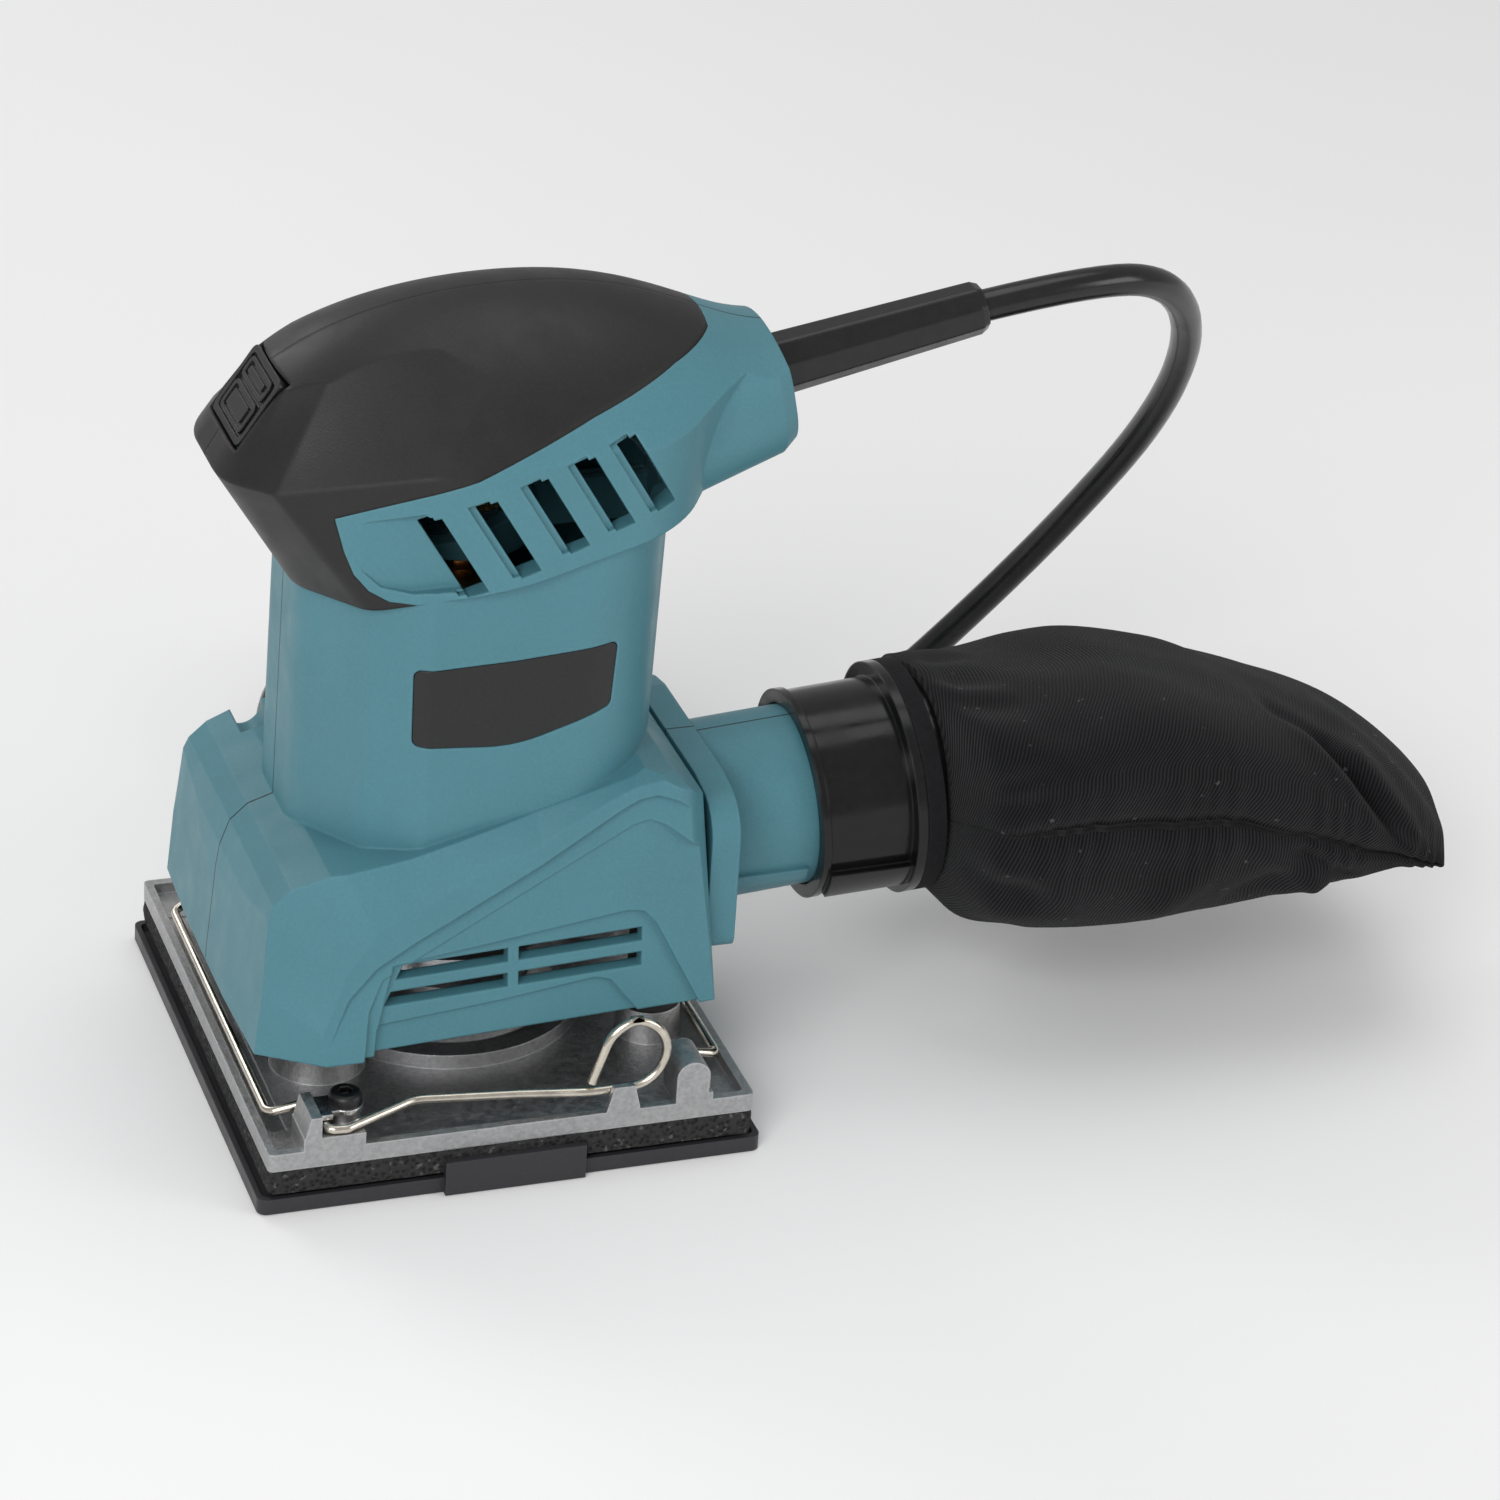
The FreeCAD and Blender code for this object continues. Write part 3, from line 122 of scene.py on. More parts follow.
# ---------------------------------------------------------------- materials
class Nodes:
    """A short way to build a node tree."""

    def __init__(self, name):
        self.material = bpy.data.materials.new(name)
        self.material.use_nodes = True
        self.tree = self.material.node_tree
        self.shader = self.tree.nodes["Principled BSDF"]
        self.coords = self.add("ShaderNodeTexCoord").outputs["Object"]

    def add(self, kind, inputs=None, **settings):
        node = self.tree.nodes.new(kind)
        for key, value in settings.items():
            setattr(node, key, value)
        for key, value in (inputs or {}).items():
            self.put(node.inputs[key], value)
        return node

    def put(self, socket, value):
        if isinstance(value, bpy.types.NodeSocket):
            self.tree.links.new(value, socket)
        else:
            socket.default_value = value

    def set(self, **values):
        names = {"color": "Base Color", "rough": "Roughness", "metal": "Metallic", "normal": "Normal",
                 "sheen": "Sheen Weight", "sheen_rough": "Sheen Roughness", "spec": "Specular IOR Level"}
        for key, value in values.items():
            self.put(self.shader.inputs[names[key]], value)

    def noise(self, scale, detail=3.0, rough=0.5):
        node = self.add("ShaderNodeTexNoise", {"Scale": scale, "Detail": detail, "Roughness": rough,
                                               "Vector": self.coords})
        return node.outputs["Fac"]

    def ramp(self, value, stops):
        node = self.add("ShaderNodeValToRGB", {"Fac": value})
        ramp = node.color_ramp
        while len(ramp.elements) < len(stops):
            ramp.elements.new(0.5)
        for element, (position, colour) in zip(ramp.elements, stops):
            element.position = position
            element.color = (*colour, 1) if hasattr(colour, "__len__") else (colour, colour, colour, 1)
        return node.outputs["Color"]

    def math(self, operation, a, b=0.0, clamp=False):
        node = self.add("ShaderNodeMath", operation=operation, use_clamp=clamp)
        self.put(node.inputs[0], a)
        self.put(node.inputs[1], b)
        return node.outputs[0]

    def mix(self, factor, a, b, blend="MIX"):
        node = self.add("ShaderNodeMix", data_type="RGBA", blend_type=blend)
        self.put(node.inputs["Factor"], factor)
        for socket, value in ((node.inputs[6], a), (node.inputs[7], b)):
            if isinstance(value, bpy.types.NodeSocket):
                self.put(socket, value)
            else:
                socket.default_value = (*value, 1)
        return node.outputs[2]

    def bump(self, height, strength, distance, normal=None):
        node = self.add("ShaderNodeBump", {"Height": height, "Strength": strength, "Distance": distance})
        if normal is not None:
            self.put(node.inputs["Normal"], normal)
        return node.outputs["Normal"]

    def bevel(self, radius):
        return self.add("ShaderNodeBevel", {"Radius": radius}, samples=4).outputs["Normal"]

    def edges(self, radius, sharpness=4.0):
        """1 along edges, 0 on flat faces: how far a wide bevel's normal leans away from the true one."""
        wide = self.bevel(radius)
        true = self.add("ShaderNodeNewGeometry").outputs["Normal"]
        dot = self.add("ShaderNodeVectorMath", operation="DOT_PRODUCT")
        self.put(dot.inputs[0], wide)
        self.put(dot.inputs[1], true)
        away = self.math("SUBTRACT", 1.0, dot.outputs["Value"])
        return self.math("MULTIPLY", away, sharpness, clamp=True)


def spread(colour, times, plus=0.0):
    """The colour made lighter or darker, kept below 1."""
    return tuple(min(1.0, c * times + plus) for c in colour)


# Heights of bump detail in metres, how far roughness wanders about its mean, how strongly the grain
# shows as colour, and where the dark line between the two half shells starts to fade and ends.
GRAIN_HEIGHT = 0.00012
CAST_HEIGHT = 0.00015
ROUGH_DRIFT = 0.07
METAL_ROUGH_DRIFT = 0.1
SPECKLE = 0.22
HAIRLINE_MM = (0.16, 0.34)


def plastic(name, colour, rough, grain=0.25, grain_scale=2600.0, bevel=0.0006, edge=0.25, mottle=0.06,
            spec=0.4, split=0.0):
    """Moulded plastic or rubber: spark-eroded grain, a soft bevelled edge with a painted highlight along it,
    slight colour drift.
    """
    m = Nodes(name)
    drift = m.ramp(m.noise(26.0, 4.0), [(0.3, spread(colour, 1 - mottle)), (0.7, spread(colour, 1 + mottle))])
    speck = m.ramp(m.noise(grain_scale * 0.6, 2.0), [(0.35, 0.0), (0.75, 1.0)])
    drift = m.mix(m.math("MULTIPLY", speck, SPECKLE), drift, spread(colour, 1.35, 0.012))
    # painted highlight: the colour is made lighter along the edges
    tint_with_painted_highlight = m.mix(m.math("MULTIPLY", m.edges(bevel * 1.6), edge), drift, spread(colour, 1.7, 0.02))
    normal = m.bevel(bevel)
    fine = m.noise(grain_scale, 2.0, 0.6)
    normal = m.bump(fine, grain, GRAIN_HEIGHT, normal)
    wear = m.noise(140.0, 3.0)
    if split:
        # the dark hairline where the two half shells meet, on the plane y = 0
        place = m.add("ShaderNodeSeparateXYZ", {"Vector": m.coords}).outputs["Y"]
        away_mm = m.math("MULTIPLY", m.math("ABSOLUTE", place), 1000.0)
        line = m.ramp(away_mm, [(HAIRLINE_MM[0], 1.0), (HAIRLINE_MM[1], 0.0)])
        tint_with_painted_highlight = m.mix(m.math("MULTIPLY", line, split), tint_with_painted_highlight, spread(colour, 0.12))
    m.set(color=tint_with_painted_highlight, normal=normal, spec=spec,
          rough=m.ramp(wear, [(0.25, max(0.05, rough - ROUGH_DRIFT)), (0.75, min(1.0, rough + ROUGH_DRIFT))]))
    return m.material


def metal(name, colour, rough, grain=0.3, grain_scale=900.0, bevel=0.0003, dirt=0.5, edge=0.5):
    """Metal with a grainy skin, darker in random patches, and a painted highlight along its edges."""
    m = Nodes(name)
    skin = m.ramp(m.noise(grain_scale * 0.5, 4.0, 0.65), [(0.3, spread(colour, 1 - dirt)), (0.65, colour)])
    # painted highlight: the colour is made lighter along the edges
    tint_with_painted_highlight = m.mix(m.math("MULTIPLY", m.edges(bevel * 2), edge), skin, spread(colour, 1.5, 0.1))
    normal = m.bump(m.noise(grain_scale, 3.0, 0.6), grain, CAST_HEIGHT, m.bevel(bevel))
    low = max(0.05, rough - METAL_ROUGH_DRIFT)
    high = min(1.0, rough + METAL_ROUGH_DRIFT)
    m.set(color=tint_with_painted_highlight, normal=normal, metal=1.0,
          rough=m.ramp(m.noise(grain_scale * 0.3, 3.0), [(0.25, low), (0.75, high)]))
    return m.material


# The weave, in UV units of 100 mm: a wave of scale s repeats every pi / (10 s).
PANEL_V = 0.95
RIB_SCALE = 40.0
RIB_TURN = math.radians(14)
THREAD_SCALE = 70.0
THREAD_TURN = math.radians(-52)
WEAVE_WOBBLE = 0.0022
LINT_COLOUR = (0.12, 0.12, 0.12)


def twill(name, colour):
    """Cotton twill: steep fine ribs across the UV map, uneven dye, painted shade along the seams, a soft nap
    and a few specks of lint.
    """
    m = Nodes(name)
    uv = m.add("ShaderNodeUVMap", uv_map="weave").outputs["UV"]
    wobble = m.add("ShaderNodeVectorMath", operation="SCALE")
    m.put(wobble.inputs[0], m.add("ShaderNodeTexNoise", {"Scale": 9.0, "Vector": uv}).outputs["Color"])
    wobble.inputs["Scale"].default_value = WEAVE_WOBBLE
    moved = m.add("ShaderNodeVectorMath", operation="ADD")
    m.put(moved.inputs[0], uv)
    m.put(moved.inputs[1], wobble.outputs[0])
    turned = m.add("ShaderNodeMapping", {"Vector": moved.outputs[0], "Rotation": (0, 0, RIB_TURN)})
    rib = m.add("ShaderNodeTexWave", {"Scale": RIB_SCALE, "Distortion": 0.12, "Detail": 1.0,
                                      "Detail Scale": 6.0,
                                      "Vector": turned.outputs[0]}, wave_type="BANDS",
                bands_direction="X").outputs["Fac"]
    crossed = m.add("ShaderNodeMapping", {"Vector": moved.outputs[0], "Rotation": (0, 0, THREAD_TURN)})
    thread = m.add("ShaderNodeTexWave", {"Scale": THREAD_SCALE, "Distortion": 0.3,
                                         "Vector": crossed.outputs[0]},
                   bands_direction="X").outputs["Fac"]
    weave = m.math("ADD", m.math("MULTIPLY", rib, 0.75), m.math("MULTIPLY", thread, 0.25))
    base = m.ramp(weave, [(0.2, spread(colour, 0.3)), (0.85, spread(colour, 2.5))])
    dye = m.ramp(m.noise(38.0, 4.0), [(0.3, 0.7), (0.7, 1.0)])
    base = m.mix(1.0, base, dye, "MULTIPLY")
    # the two sewn sides, with painted shade darkening the colour close to both seams: each panel is PANEL_V
    # wide in V, the lower one starts at 2
    v = m.add("ShaderNodeSeparateXYZ", {"Vector": uv}).outputs["Y"]
    share = m.math("MODULO", v, 2.0)
    edge = m.math("MINIMUM", share, m.math("SUBTRACT", PANEL_V, share))
    base = m.mix(1.0, base, m.ramp(m.math("MULTIPLY", edge, 10.0), [(0.04, 0.12), (0.14, 1.0)]), "MULTIPLY")
    lint = m.ramp(m.noise(520.0, 1.0, 0.3), [(0.76, 0.0), (0.80, 1.0)])
    base = m.mix(m.math("MULTIPLY", lint, 0.5), base, LINT_COLOUR)
    nap = m.bump(m.noise(1500.0, 2.0), 0.25, 0.0002)
    m.set(color=base, normal=m.bump(weave, 1.0, 0.0003, nap), rough=0.92, spec=0.15, sheen=0.06,
          sheen_rough=0.5)
    return m.material


def foam_rubber(name, colour):
    """Cut foam rubber: small open cells and pale specks."""
    m = Nodes(name)
    cells = m.add("ShaderNodeTexVoronoi", {"Scale": 900.0, "Vector": m.coords}).outputs["Distance"]
    grain = m.noise(1800.0, 3.0)
    base = m.ramp(cells, [(0.15, spread(colour, 0.35)), (0.6, colour)])
    speck = m.ramp(m.noise(900.0, 1.0, 0.3), [(0.66, 0.0), (0.74, 1.0)])
    base = m.mix(m.math("MULTIPLY", speck, 0.5), base, (0.16, 0.16, 0.15))
    height = m.math("ADD", cells, m.math("MULTIPLY", grain, 0.4))
    m.set(color=base, rough=0.95, spec=0.2, normal=m.bump(height, 1.0, 0.0005))
    return m.material


TEAL = (0.070, 0.207, 0.250)
BAG_BLACK = (0.0085, 0.0085, 0.0098)
CRISP_ABOVE = 28
MATERIALS = {}


def make_materials():
    """One procedural material for each slot of the record."""
    made = {
        "housing_plastic": plastic("teal_plastic", TEAL, 0.46, grain=0.22, bevel=0.0007, edge=0.3,
                                   spec=0.36, split=0.85),
        "grip_rubber": plastic("soft_grip", (0.0115, 0.0115, 0.0112), 0.46, grain=0.28, bevel=0.0012,
                               edge=0.18, mottle=0.12, spec=0.38, split=0.5),
        "badge_label": plastic("badge_face", (0.012, 0.012, 0.013), 0.34, grain=0.06, bevel=0.0003,
                               edge=0.5),
        "black_plastic": plastic("black_plastic", (0.012, 0.012, 0.013), 0.42),
        "punch_plastic": plastic("punch_plastic", (0.026, 0.026, 0.029), 0.42, grain=0.16,
                                 bevel=0.0003, edge=0.5),
        "black_rubber": plastic("black_rubber", (0.018, 0.018, 0.018), 0.7),
        "fan_plastic": plastic("fan_plastic", (0.02, 0.02, 0.02), 0.5),
        "switch_rubber": plastic("switch_rubber", (0.007, 0.007, 0.0075), 0.3, grain=0.12,
                                 bevel=0.0003, edge=0.3, spec=0.5),
        "collar_plastic": plastic("collar_plastic", (0.006, 0.006, 0.006), 0.2, grain=0.10,
                                  grain_scale=900.0, bevel=0.0006, edge=0.5, spec=0.32),
        "guard_rubber": plastic("guard_rubber", (0.010, 0.010, 0.010), 0.2, grain=0.08,
                                grain_scale=700.0, bevel=0.0008, edge=0.4),
        "cord_rubber": plastic("cord_rubber", (0.011, 0.011, 0.011), 0.22, grain=0.06,
                               grain_scale=500.0, bevel=0.0003, edge=0.0),
        "plug_plastic": plastic("plug_plastic", (0.012, 0.012, 0.012), 0.3, bevel=0.0008, edge=0.4),
        "capacitor_plastic": plastic("capacitor_plastic", (0.5, 0.36, 0.06), 0.35),
        "carbon": plastic("carbon", (0.03, 0.03, 0.03), 0.6),
        "foam": foam_rubber("foam_rubber", (0.035, 0.035, 0.035)),
        "bag_fabric": twill("bag_twill", BAG_BLACK),
        "black_steel": metal("black_steel", (0.05, 0.05, 0.05), 0.4, dirt=0.2),
        "lamination_steel": metal("laminations", (0.25, 0.25, 0.26), 0.45),
        "copper_winding": metal("copper_winding", (0.55, 0.2, 0.09), 0.35),
        "bearing_steel": metal("bearing_steel", (0.55, 0.55, 0.56), 0.28, dirt=0.2),
        "brass": metal("brass", (0.7, 0.5, 0.2), 0.32, dirt=0.2),
        "zinc_steel": metal("zinc_steel", (0.72, 0.74, 0.78), 0.24, dirt=0.15, grain=0.08),
        "copper_bars": metal("copper_bars", (0.7, 0.33, 0.18), 0.3),
        "cast_aluminium": metal("cast_aluminium", (0.5, 0.5, 0.505), 0.46, grain=0.8,
                                grain_scale=1900.0, dirt=0.25),
        "clamp_wire": metal("clamp_wire", (0.74, 0.68, 0.58), 0.2, grain=0.1, grain_scale=600.0,
                            dirt=0.25),
    }
    MATERIALS.update(made)
    # the band at the bag's mouth has no weave map of its own
    MATERIALS["band_twill"] = plastic("band_twill", BAG_BLACK, 0.85, grain=0.9, grain_scale=1500.0, spec=0.2)


def dress_nodes():
    """Gives every CAD node its material and crisp or smooth shading by angle."""
    slots = {row["node"]: row["material_slot"] for row in frame["record"]["subparts"]}
    for name, obj in nodes.items():
        material = MATERIALS["band_twill" if name == "bag_band" else slots[name]]
        obj.data.materials.clear()
        obj.data.materials.append(material)
        smooth_by_angle(obj.data, CRISP_ABOVE)


# ---------------------------------------------------------------- cord
CORD_DIAMETER = 0.0066
CORD_EXIT = (0.10732, 0.0, 0.15698)
CORD_ROUTE = [(0.134, 0.001, 0.161), (0.154, 0.010, 0.154), (0.168, 0.028, 0.133), (0.172, 0.050, 0.104),
              (0.164, 0.071, 0.072), (0.149, 0.085, 0.043), (0.131, 0.092, 0.020), (0.109, 0.092, 0.0064),
              (0.084, 0.086, 0.0034), (0.066, 0.0779, 0.0034)]
COIL_CENTRE = (0.036, 0.112)
COIL_START = math.radians(-65)
COIL_TURNS = 6.03
POINTS_PER_TURN = 24
PLUG_FACE = (0.0395, 0.0770, 0.0185)

# turns wound so far, radius, height: two flat layers, then one climb on to the plug's level
COIL_STAGES = [(0.0, 0.0432, 0.0034), (2.45, 0.0268, 0.0034), (2.75, 0.0268, 0.0101), (5.29, 0.0432, 0.0101),
               (5.55, 0.0424, 0.0166), (5.80, 0.0380, 0.0172), (COIL_TURNS, 0.0352, 0.0185)]


def along_stages(turns):
    """Radius and height of the coil after so many turns."""
    for (t0, r0, z0), (t1, r1, z1) in zip(COIL_STAGES, COIL_STAGES[1:]):
        if turns <= t1:
            share = (turns - t0) / (t1 - t0)
            return r0 + (r1 - r0) * share, z0 + (z1 - z0) * share
    return COIL_STAGES[-1][1:]


def tube_curve(name, points, diameter, material):
    """A round tube along one open NURBS spline that has the points as its control points."""
    curve = bpy.data.curves.new(name, "CURVE")
    curve.dimensions = "3D"
    curve.bevel_depth = diameter / 2
    curve.bevel_resolution = 6
    curve.resolution_u = 8
    curve.use_fill_caps = True
    spline = curve.splines.new("NURBS")
    spline.points.add(len(points) - 1)
    for spot, place in zip(spline.points, points):
        spot.co = (*place, 1)
    spline.order_u = 3
    spline.use_endpoint_u = True
    curve.materials.append(material)
    return link(bpy.data.objects.new(name, curve))


def make_cord():
    """The mains lead: out of the guard, down behind the bag, and away in a coil that ends at the plug."""
    points = [CORD_EXIT] + CORD_ROUTE
    count = int(COIL_TURNS * POINTS_PER_TURN)
    for i in range(count + 1):
        turns = COIL_TURNS * i / count
        angle = COIL_START - 2 * math.pi * turns
        radius, height = along_stages(turns)
        points.append((COIL_CENTRE[0] + radius * math.cos(angle),
                       COIL_CENTRE[1] + radius * math.sin(angle), height))
    points.append(PLUG_FACE)
    cord = tube_curve("mains_cord", points, CORD_DIAMETER, MATERIALS["cord_rubber"])
    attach(cord, "housing")
    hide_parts("power_cord", "cord_coil")


# ---------------------------------------------------------------- dust bag
# Stations along the bag: x, half width, seam height, top height, bottom height, boxiness, lean (mm).
# The bag hangs with its near side up: each section leans by that much height for each mm of width.
BAG_STATIONS = [(101.0, 23.0, 52.5, 74.5, 30.0, 0.95, 0.0), (103.5, 31.5, 53.0, 75.0, 27.0, 0.80, 0.08),
                (109, 38.5, 51.0, 74.0, 24.0, 0.66, 0.16), (125, 42.5, 48.5, 74.0, 22.5, 0.58, 0.23),
                (142, 44.0, 47.5, 75.0, 23.0, 0.56, 0.24), (160, 44.5, 45.5, 71.5, 25.0, 0.58, 0.22),
                (178, 44.5, 41.5, 65.5, 29.0, 0.62, 0.18), (192, 44.5, 39.5, 59.5, 32.5, 0.70, 0.13),
                (203, 44.5, 38.8, 53.5, 34.8, 0.78, 0.09), (210.5, 44.0, 38.5, 48.0, 36.4, 0.88, 0.06),
                (215.5, 43.5, 38.8, 43.6, 36.0, 1.0, 0.04)]
BAG_LENGTHWAYS = 150
BAG_PANEL = 84

# The mouth is gathered on the collar, the tail is sewn flat and bowed, both in mm along the bag.
MOUTH_X = 101.5
MOUTH_LENGTH = 16
MOUTH_CENTRE = (103.5, 0, 52.5)
GATHERS = 15
GATHER_DEPTH = 0.8
TAIL_X = 178
TAIL_LENGTH = 38
BOW_X = 172
BOW_LENGTH = 43
BOW_HALF_WIDTH = 44
END_BOW = 10.5

# The side seams: how points crowd to them, their groove, and how they droop and pucker, in mm.
SEAM_SHARE = 1.55
SEAM_GROOVE = 1.9
SEAM_GROOVE_WIDTH = 2.0
SEAM_DROOP = 1.4
SEAM_PUCKER = 0.5
LOWER_LEVELS = 0.8
FOLD_UNIT = 90

# Folds on the upper panel: start (x, share round the panel), end, depth and width in mm. Below 0 is a valley.
UPPER_FOLDS = [((181, 0.34), (198, 0.09), -4.6, 2.8), ((188, 0.36), (206, 0.12), 3.0, 4.5),
               ((174, 0.36), (192, 0.08), 1.8, 4.0), ((172, 0.43), (183, 0.34), -2.2, 2.6),
               ((190, 0.46), (212, 0.26), 1.6, 6.0),
               ((196, 0.50), (214, 0.34), -1.5, 4.0), ((120, 0.20), (133, 0.05), 0.9, 3.0),
               ((126, 0.62), (168, 0.55), 1.5, 7.0), ((108, 0.36), (124, 0.30), -0.9, 5.0),
               ((150, 0.72), (185, 0.80), -1.4, 5.0), ((128, 0.88), (160, 0.76), 1.2, 5.0)]
LOWER_FOLDS = [((112, 0.78), (106, 0.98), -2.2, 4.0), ((122, 0.74), (116, 0.96), 1.5, 4.0),
               ((140, 0.76), (156, 0.97), 1.6, 4.5), ((160, 0.74), (175, 0.97), -2.2, 4.0),
               ((170, 0.76), (186, 0.97), 1.8, 4.0), ((130, 0.4), (170, 0.5), 1.4, 7.0),
               ((178, 0.60), (204, 0.85), -1.6, 4.0), ((120, 0.2), (150, 0.1), -1.4, 5.0),
               ((158, 0.99), (178, 0.80), 2.4, 3.2), ((166, 0.99), (184, 0.84), -2.2, 2.6)]


def bag_station(t):
    """The station at share t of the way along, eased between the listed ones."""
    place = t * (len(BAG_STATIONS) - 1)
    i = min(int(place), len(BAG_STATIONS) - 2)
    f = place - i
    rows = [BAG_STATIONS[max(0, min(len(BAG_STATIONS) - 1, i + k))] for k in (-1, 0, 1, 2)]
    values = []
    for p0, p1, p2, p3 in zip(*rows):
        values.append(0.5 * (2 * p1 + (p2 - p0) * f + (2 * p0 - 5 * p1 + 4 * p2 - p3) * f * f
                             + (3 * p1 - p0 - 3 * p2 + p3) * f ** 3))
    return values


def soft_noise(x, y, z, seed):
    """Low, broad unevenness of the cloth, in mm."""
    broad = noise.noise(Vector((x * 0.018 + seed, y * 0.035, z * 0.05)))
    fine = noise.noise(Vector(((x + 0.8 * y) * 0.055, (y - 0.5 * x) * 0.03 + seed, z * 0.05)))
    return 1.5 * broad + 0.8 * fine


def fold_height(folds, x, s):
    """The listed folds at a point: each is a soft ridge that fades at both ends."""
    total = 0.0
    for (x0, s0), (x1, s1), depth, width in folds:
        px, py = x - x0, (s - s0) * FOLD_UNIT
        dx, dy = x1 - x0, (s1 - s0) * FOLD_UNIT
        run = math.hypot(dx, dy)
        along = (px * dx + py * dy) / run
        across = (px * dy - py * dx) / run
        ends = max(0.0, min(1.0, (along + 0.2 * run) / (0.35 * run))) * max(
            0.0, min(1.0, (1.2 * run - along) / (0.35 * run)))
        total += depth * math.exp(-(across / width) ** 2) * ends * ends * (3 - 2 * ends)
    return total


def clamp01(value):
    return max(0.0, min(1.0, value))


def panel_angle(s):
    """The angle round half a section at share s of a panel; points crowd towards its two seams."""
    fold = 0.5 - abs(s - 0.5)
    angle = math.pi / 2 * (2 * fold) ** SEAM_SHARE
    return math.pi - angle if s > 0.5 else angle


def bag_point(t, s, upper):
    """A point of the bag in mm: t goes along it, s across the upper or lower panel from seam to seam."""
    x, half, seam, top, bottom, boxy, lean = bag_station(t)
    sign = 1 if upper else -1
    height = top - seam if upper else bottom - seam
    angle = panel_angle(s)
    lens = math.sin(angle) ** boxy if 0 < s < 1 else 0.0
    across = math.copysign(abs(math.cos(angle)) ** (0.45 + 0.55 * boxy), math.cos(angle))
    y = -half * across * sign
    # the near side hangs higher; the lower panel levels out under the bag
    z = seam + height * lens - lean * y * (1 if upper else 1 - LOWER_LEVELS * lens)
    droop = SEAM_DROOP * noise.noise(Vector((x * 0.055, 7.0 * (1 if y > 0 else -1), 0.3)))
    z += droop * (1 - lens)

    mouth = max(0.0, 1 - (x - MOUTH_X) / MOUTH_LENGTH)
    tail = max(0.0, (x - TAIL_X) / TAIL_LENGTH)
    swell = soft_noise(x, y, z, 2.0 if upper else 9.0)
    swell += fold_height(UPPER_FOLDS if upper else LOWER_FOLDS, x, s)
    swell *= min(1.0, 0.15 + 1.5 * lens) * (1 - mouth) * (1 - 0.5 * tail)
    gather = math.cos(angle * GATHERS + 2 * math.sin(angle * 4)) * GATHER_DEPTH * mouth * (1 - mouth) * 4
    pucker = math.cos(x * 0.95 + 4 * math.sin(x * 0.21)) * SEAM_PUCKER * (1 - lens) ** 2
    from_seam = (1 - abs(2 * s - 1)) * half
    groove = SEAM_GROOVE * math.exp(-(from_seam / SEAM_GROOVE_WIDTH) ** 2) * (1 - mouth)
    out = swell + gather + pucker - groove
    normal = Vector((0.0, -math.cos(angle) * sign * 0.8, sign * lens)).normalized()
    bow = END_BOW * (y / BOW_HALF_WIDTH) ** 2 * clamp01((x - BOW_X) / BOW_LENGTH) ** 2
    return Vector((x - bow + 0.25 * out * tail, y + normal.y * out, z + normal.z * out))


def bag_faces(around):
    """Rings of four-cornered faces, the sewn far end, and the fan that closes the mouth."""
    faces = []
    for i in range(BAG_LENGTHWAYS):
        for j in range(around):
            a = i * around + j
            b = i * around + (j + 1) % around
            faces.append((a, b, b + around, a + around))
    last = BAG_LENGTHWAYS * around
    for j in range(1, BAG_PANEL):
        a, b = last + j - 1, last + j
        c, d = last + around - j, last + (around - j + 1) % around
        faces.append((a, b, c, d) if j > 1 else (a, b, c))
    centre = last + around
    for j in range(around):
        faces.append((j, (j + 1) % around, centre))
    return faces


def make_bag():
    """The cloth bag: an upper and a lower panel sewn together along both sides and the far end."""
    around = 2 * BAG_PANEL
    verts = []
    uvs = []
    for i in range(BAG_LENGTHWAYS + 1):
        for j in range(around):
            upper = j < BAG_PANEL
            s = (j if upper else j - BAG_PANEL) / BAG_PANEL
            verts.append(bag_point(i / BAG_LENGTHWAYS, s, upper))
            # the weave runs by the true length of cloth along the bag
            along = 0.0
            if i:
                along = uvs[-around][0] + (verts[-1] - verts[-1 - around]).length / 100
            uvs.append((along, s * PANEL_V + (0 if upper else 2)))
    verts.append(Vector(MOUTH_CENTRE))
    uvs.append((1, 0))
    bag = mesh_object("cloth_bag", [point / 1000 for point in verts], bag_faces(around))
    layer = bag.data.uv_layers.new(name="weave")
    for loop in bag.data.loops:
        layer.data[loop.index].uv = uvs[loop.vertex_index]
    sub = bag.modifiers.new("fine", "SUBSURF")
    sub.levels = sub.render_levels = 1
    bag.data.materials.append(MATERIALS["bag_fabric"])
    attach(bag, "bag")
    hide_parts("dust_bag")


# ---------------------------------------------------------------- foam pad
FOAM_CORNER = 0.0015
FOAM_STEP = 0.002
FOAM_LAYERS = 8
FOAM_BULGE = 0.00035
FOAM_SHRINK = 0.00015
FOAM_ROUGHNESS = 0.00018
FOAM_CRISP_ABOVE = 40


def foam_outline(half):
    """A rectangle with small round corners, cut into short steps."""
    outline = []
    for k in range(4):
        cx = (half.x - FOAM_CORNER) * (1 if k in (0, 3) else -1)
        cy = (half.y - FOAM_CORNER) * (1 if k in (0, 1) else -1)
        for i in range(5):
            angle = math.radians(90 * k + 22.5 * i)
            outline.append(Vector((cx + FOAM_CORNER * math.cos(angle),
                                   cy + FOAM_CORNER * math.sin(angle), 0)))
    ringed = []
    for a, b in zip(outline, outline[1:] + outline[:1]):
        count = max(1, int((b - a).length / FOAM_STEP))
        ringed += [a.lerp(b, i / count) for i in range(count)]
    return ringed


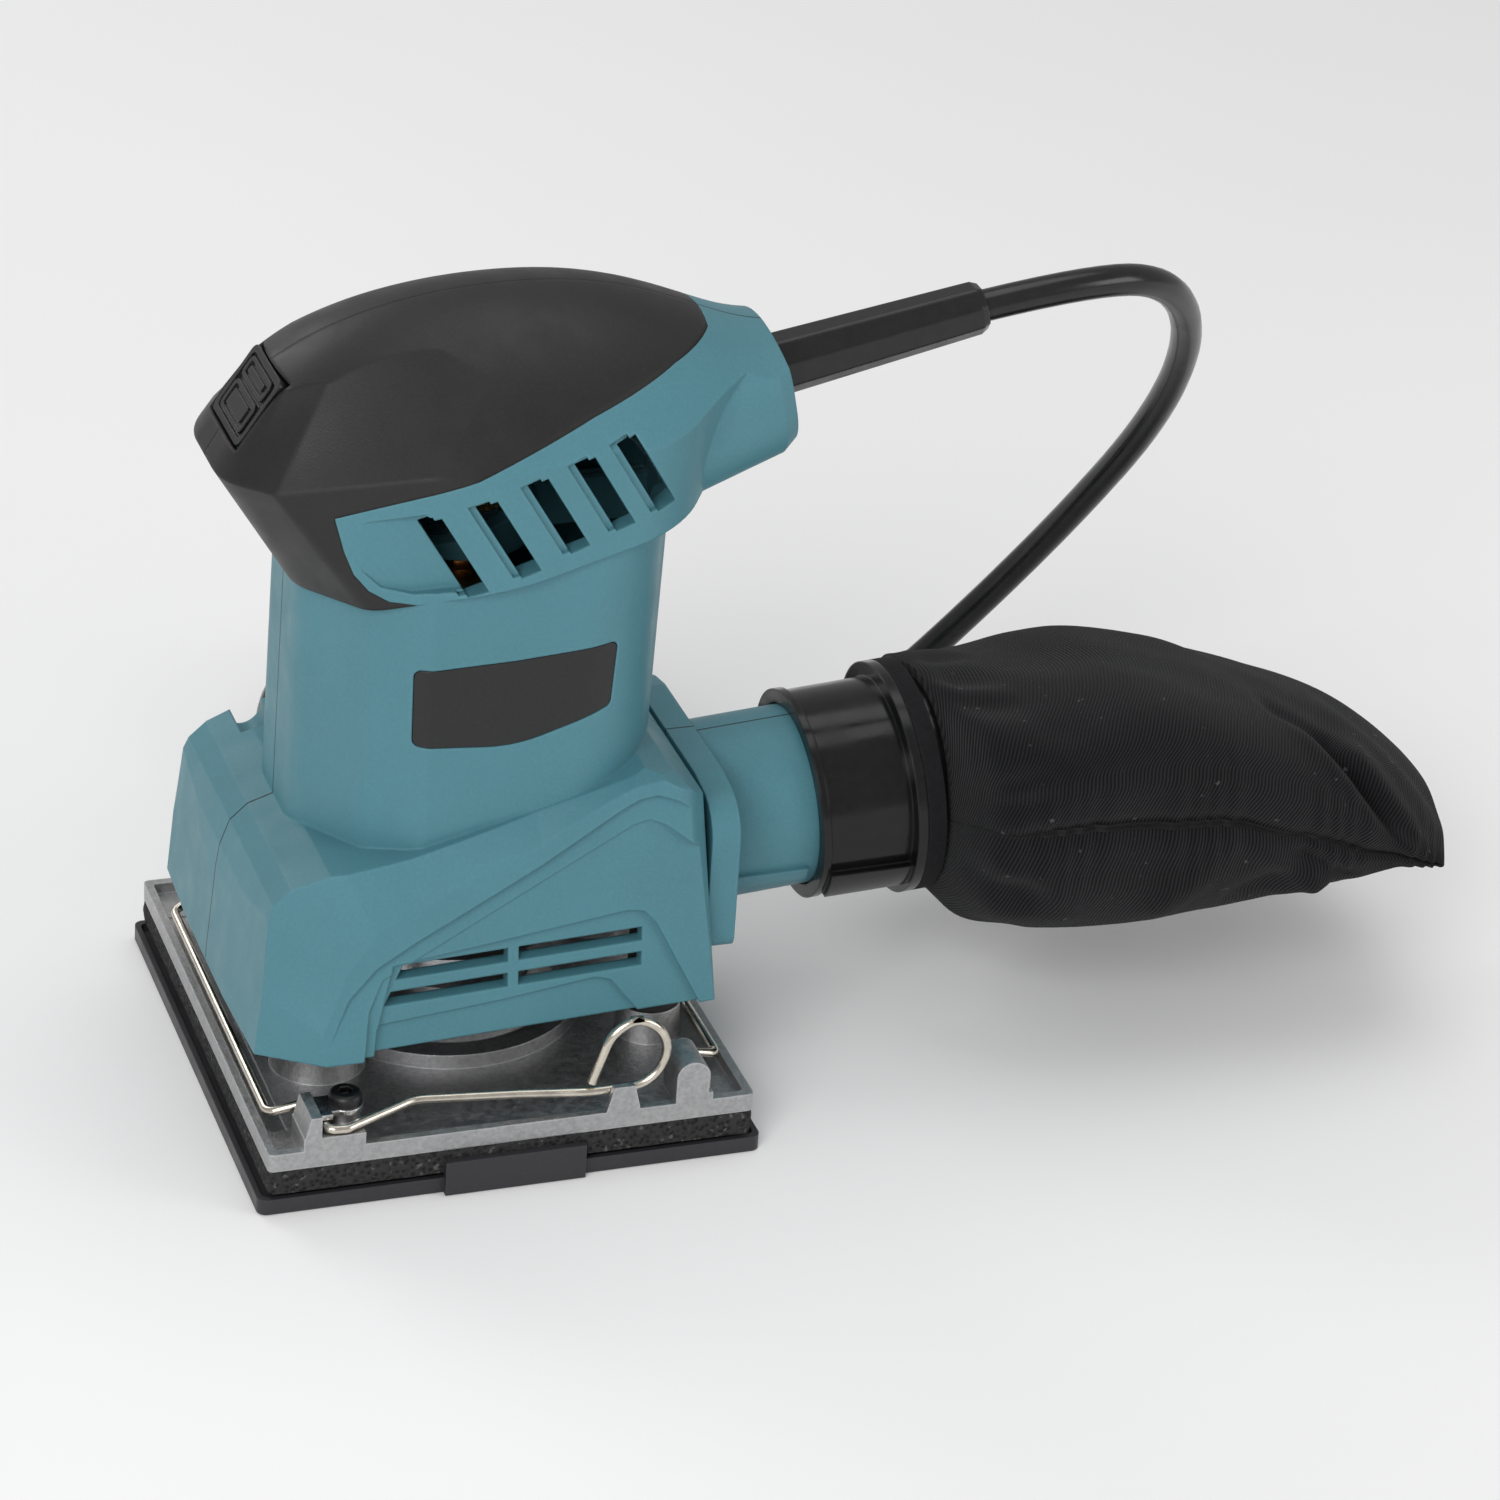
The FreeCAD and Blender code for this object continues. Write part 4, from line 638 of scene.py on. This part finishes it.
def make_foam():
    """The foam sheet under the platen: cut edges that bulge a little between the two plates."""
    low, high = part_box("foam_pad")
    centre = (low + high) / 2
    half = (high - low) / 2
    ring = foam_outline(half)
    verts = []
    faces = []
    for layer in range(FOAM_LAYERS + 1):
        share = layer / FOAM_LAYERS
        bulge = FOAM_BULGE * math.sin(math.pi * share) - FOAM_SHRINK
        lift = Vector((0, 0, half.z * (2 * share - 1)))
        for p in ring:
            way = Vector(((p.x / half.x) ** 7, (p.y / half.y) ** 7, 0)).normalized()
            rough = FOAM_ROUGHNESS * noise.noise(Vector((p.x * 900, p.y * 900, share * 5)))
            verts.append(centre + p + way * (bulge + rough) + lift)
    n = len(ring)
    for layer in range(FOAM_LAYERS):
        for i in range(n):
            a = layer * n + i
            b = layer * n + (i + 1) % n
            faces.append((a, b, b + n, a + n))
    faces.append(tuple(reversed(range(n))))
    faces.append(tuple(range(FOAM_LAYERS * n, FOAM_LAYERS * n + n)))
    foam = mesh_object("foam_sheet", verts, faces)
    smooth_by_angle(foam.data, FOAM_CRISP_ABOVE)
    foam.data.materials.append(MATERIALS["foam"])
    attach(foam, "pad")
    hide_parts("foam_pad")


# ---------------------------------------------------------------- floor and light
FLOOR_HALF = 6
FLOOR_Z = -0.0002
WORLD_STRENGTH = 0.42
LIGHT_AIM = Vector((0.05, 0, 0.07))
LIGHTS = (("key", (-0.75, -1.05, 0.85), 0.8, 11.5), ("top", (0.25, 0.2, 1.5), 1.0, 4.6),
          ("fill", (1.2, -0.8, 0.5), 0.6, 3.6), ("back", (-0.5, 1.2, 0.9), 0.6, 3.6))


def stage_and_lights():
    """A plain pale floor under soft studio light."""
    corners = [(FLOOR_HALF * x, FLOOR_HALF * y, 0) for x, y in ((-1, -1), (1, -1), (1, 1), (-1, 1))]
    floor = mesh_object("floor", corners, [(0, 1, 2, 3)])
    m = Nodes("floor_paint")
    m.set(color=m.ramp(m.noise(3.0), [(0.3, 0.93), (0.7, 0.95)]), rough=0.9, spec=0.1)
    floor.data.materials.append(m.material)
    floor.location.z = FLOOR_Z
    scene.view_settings.view_transform = "Standard"
    world = bpy.data.worlds.new("world")
    scene.world = world
    world.use_nodes = True
    background = world.node_tree.nodes["Background"]
    background.inputs["Color"].default_value = (1, 1, 1, 1)
    background.inputs["Strength"].default_value = WORLD_STRENGTH
    for name, place, size, power in LIGHTS:
        data = bpy.data.lights.new(name, "AREA")
        data.size = size
        data.energy = power
        lamp = link(bpy.data.objects.new(name, data))
        lamp.location = place
        lamp.rotation_mode = "QUATERNION"
        lamp.rotation_quaternion = (Vector(place) - LIGHT_AIM).to_track_quat("Z", "Y")


make_camera()
make_materials()
dress_nodes()
make_cord()
make_bag()
make_foam()
stage_and_lights()
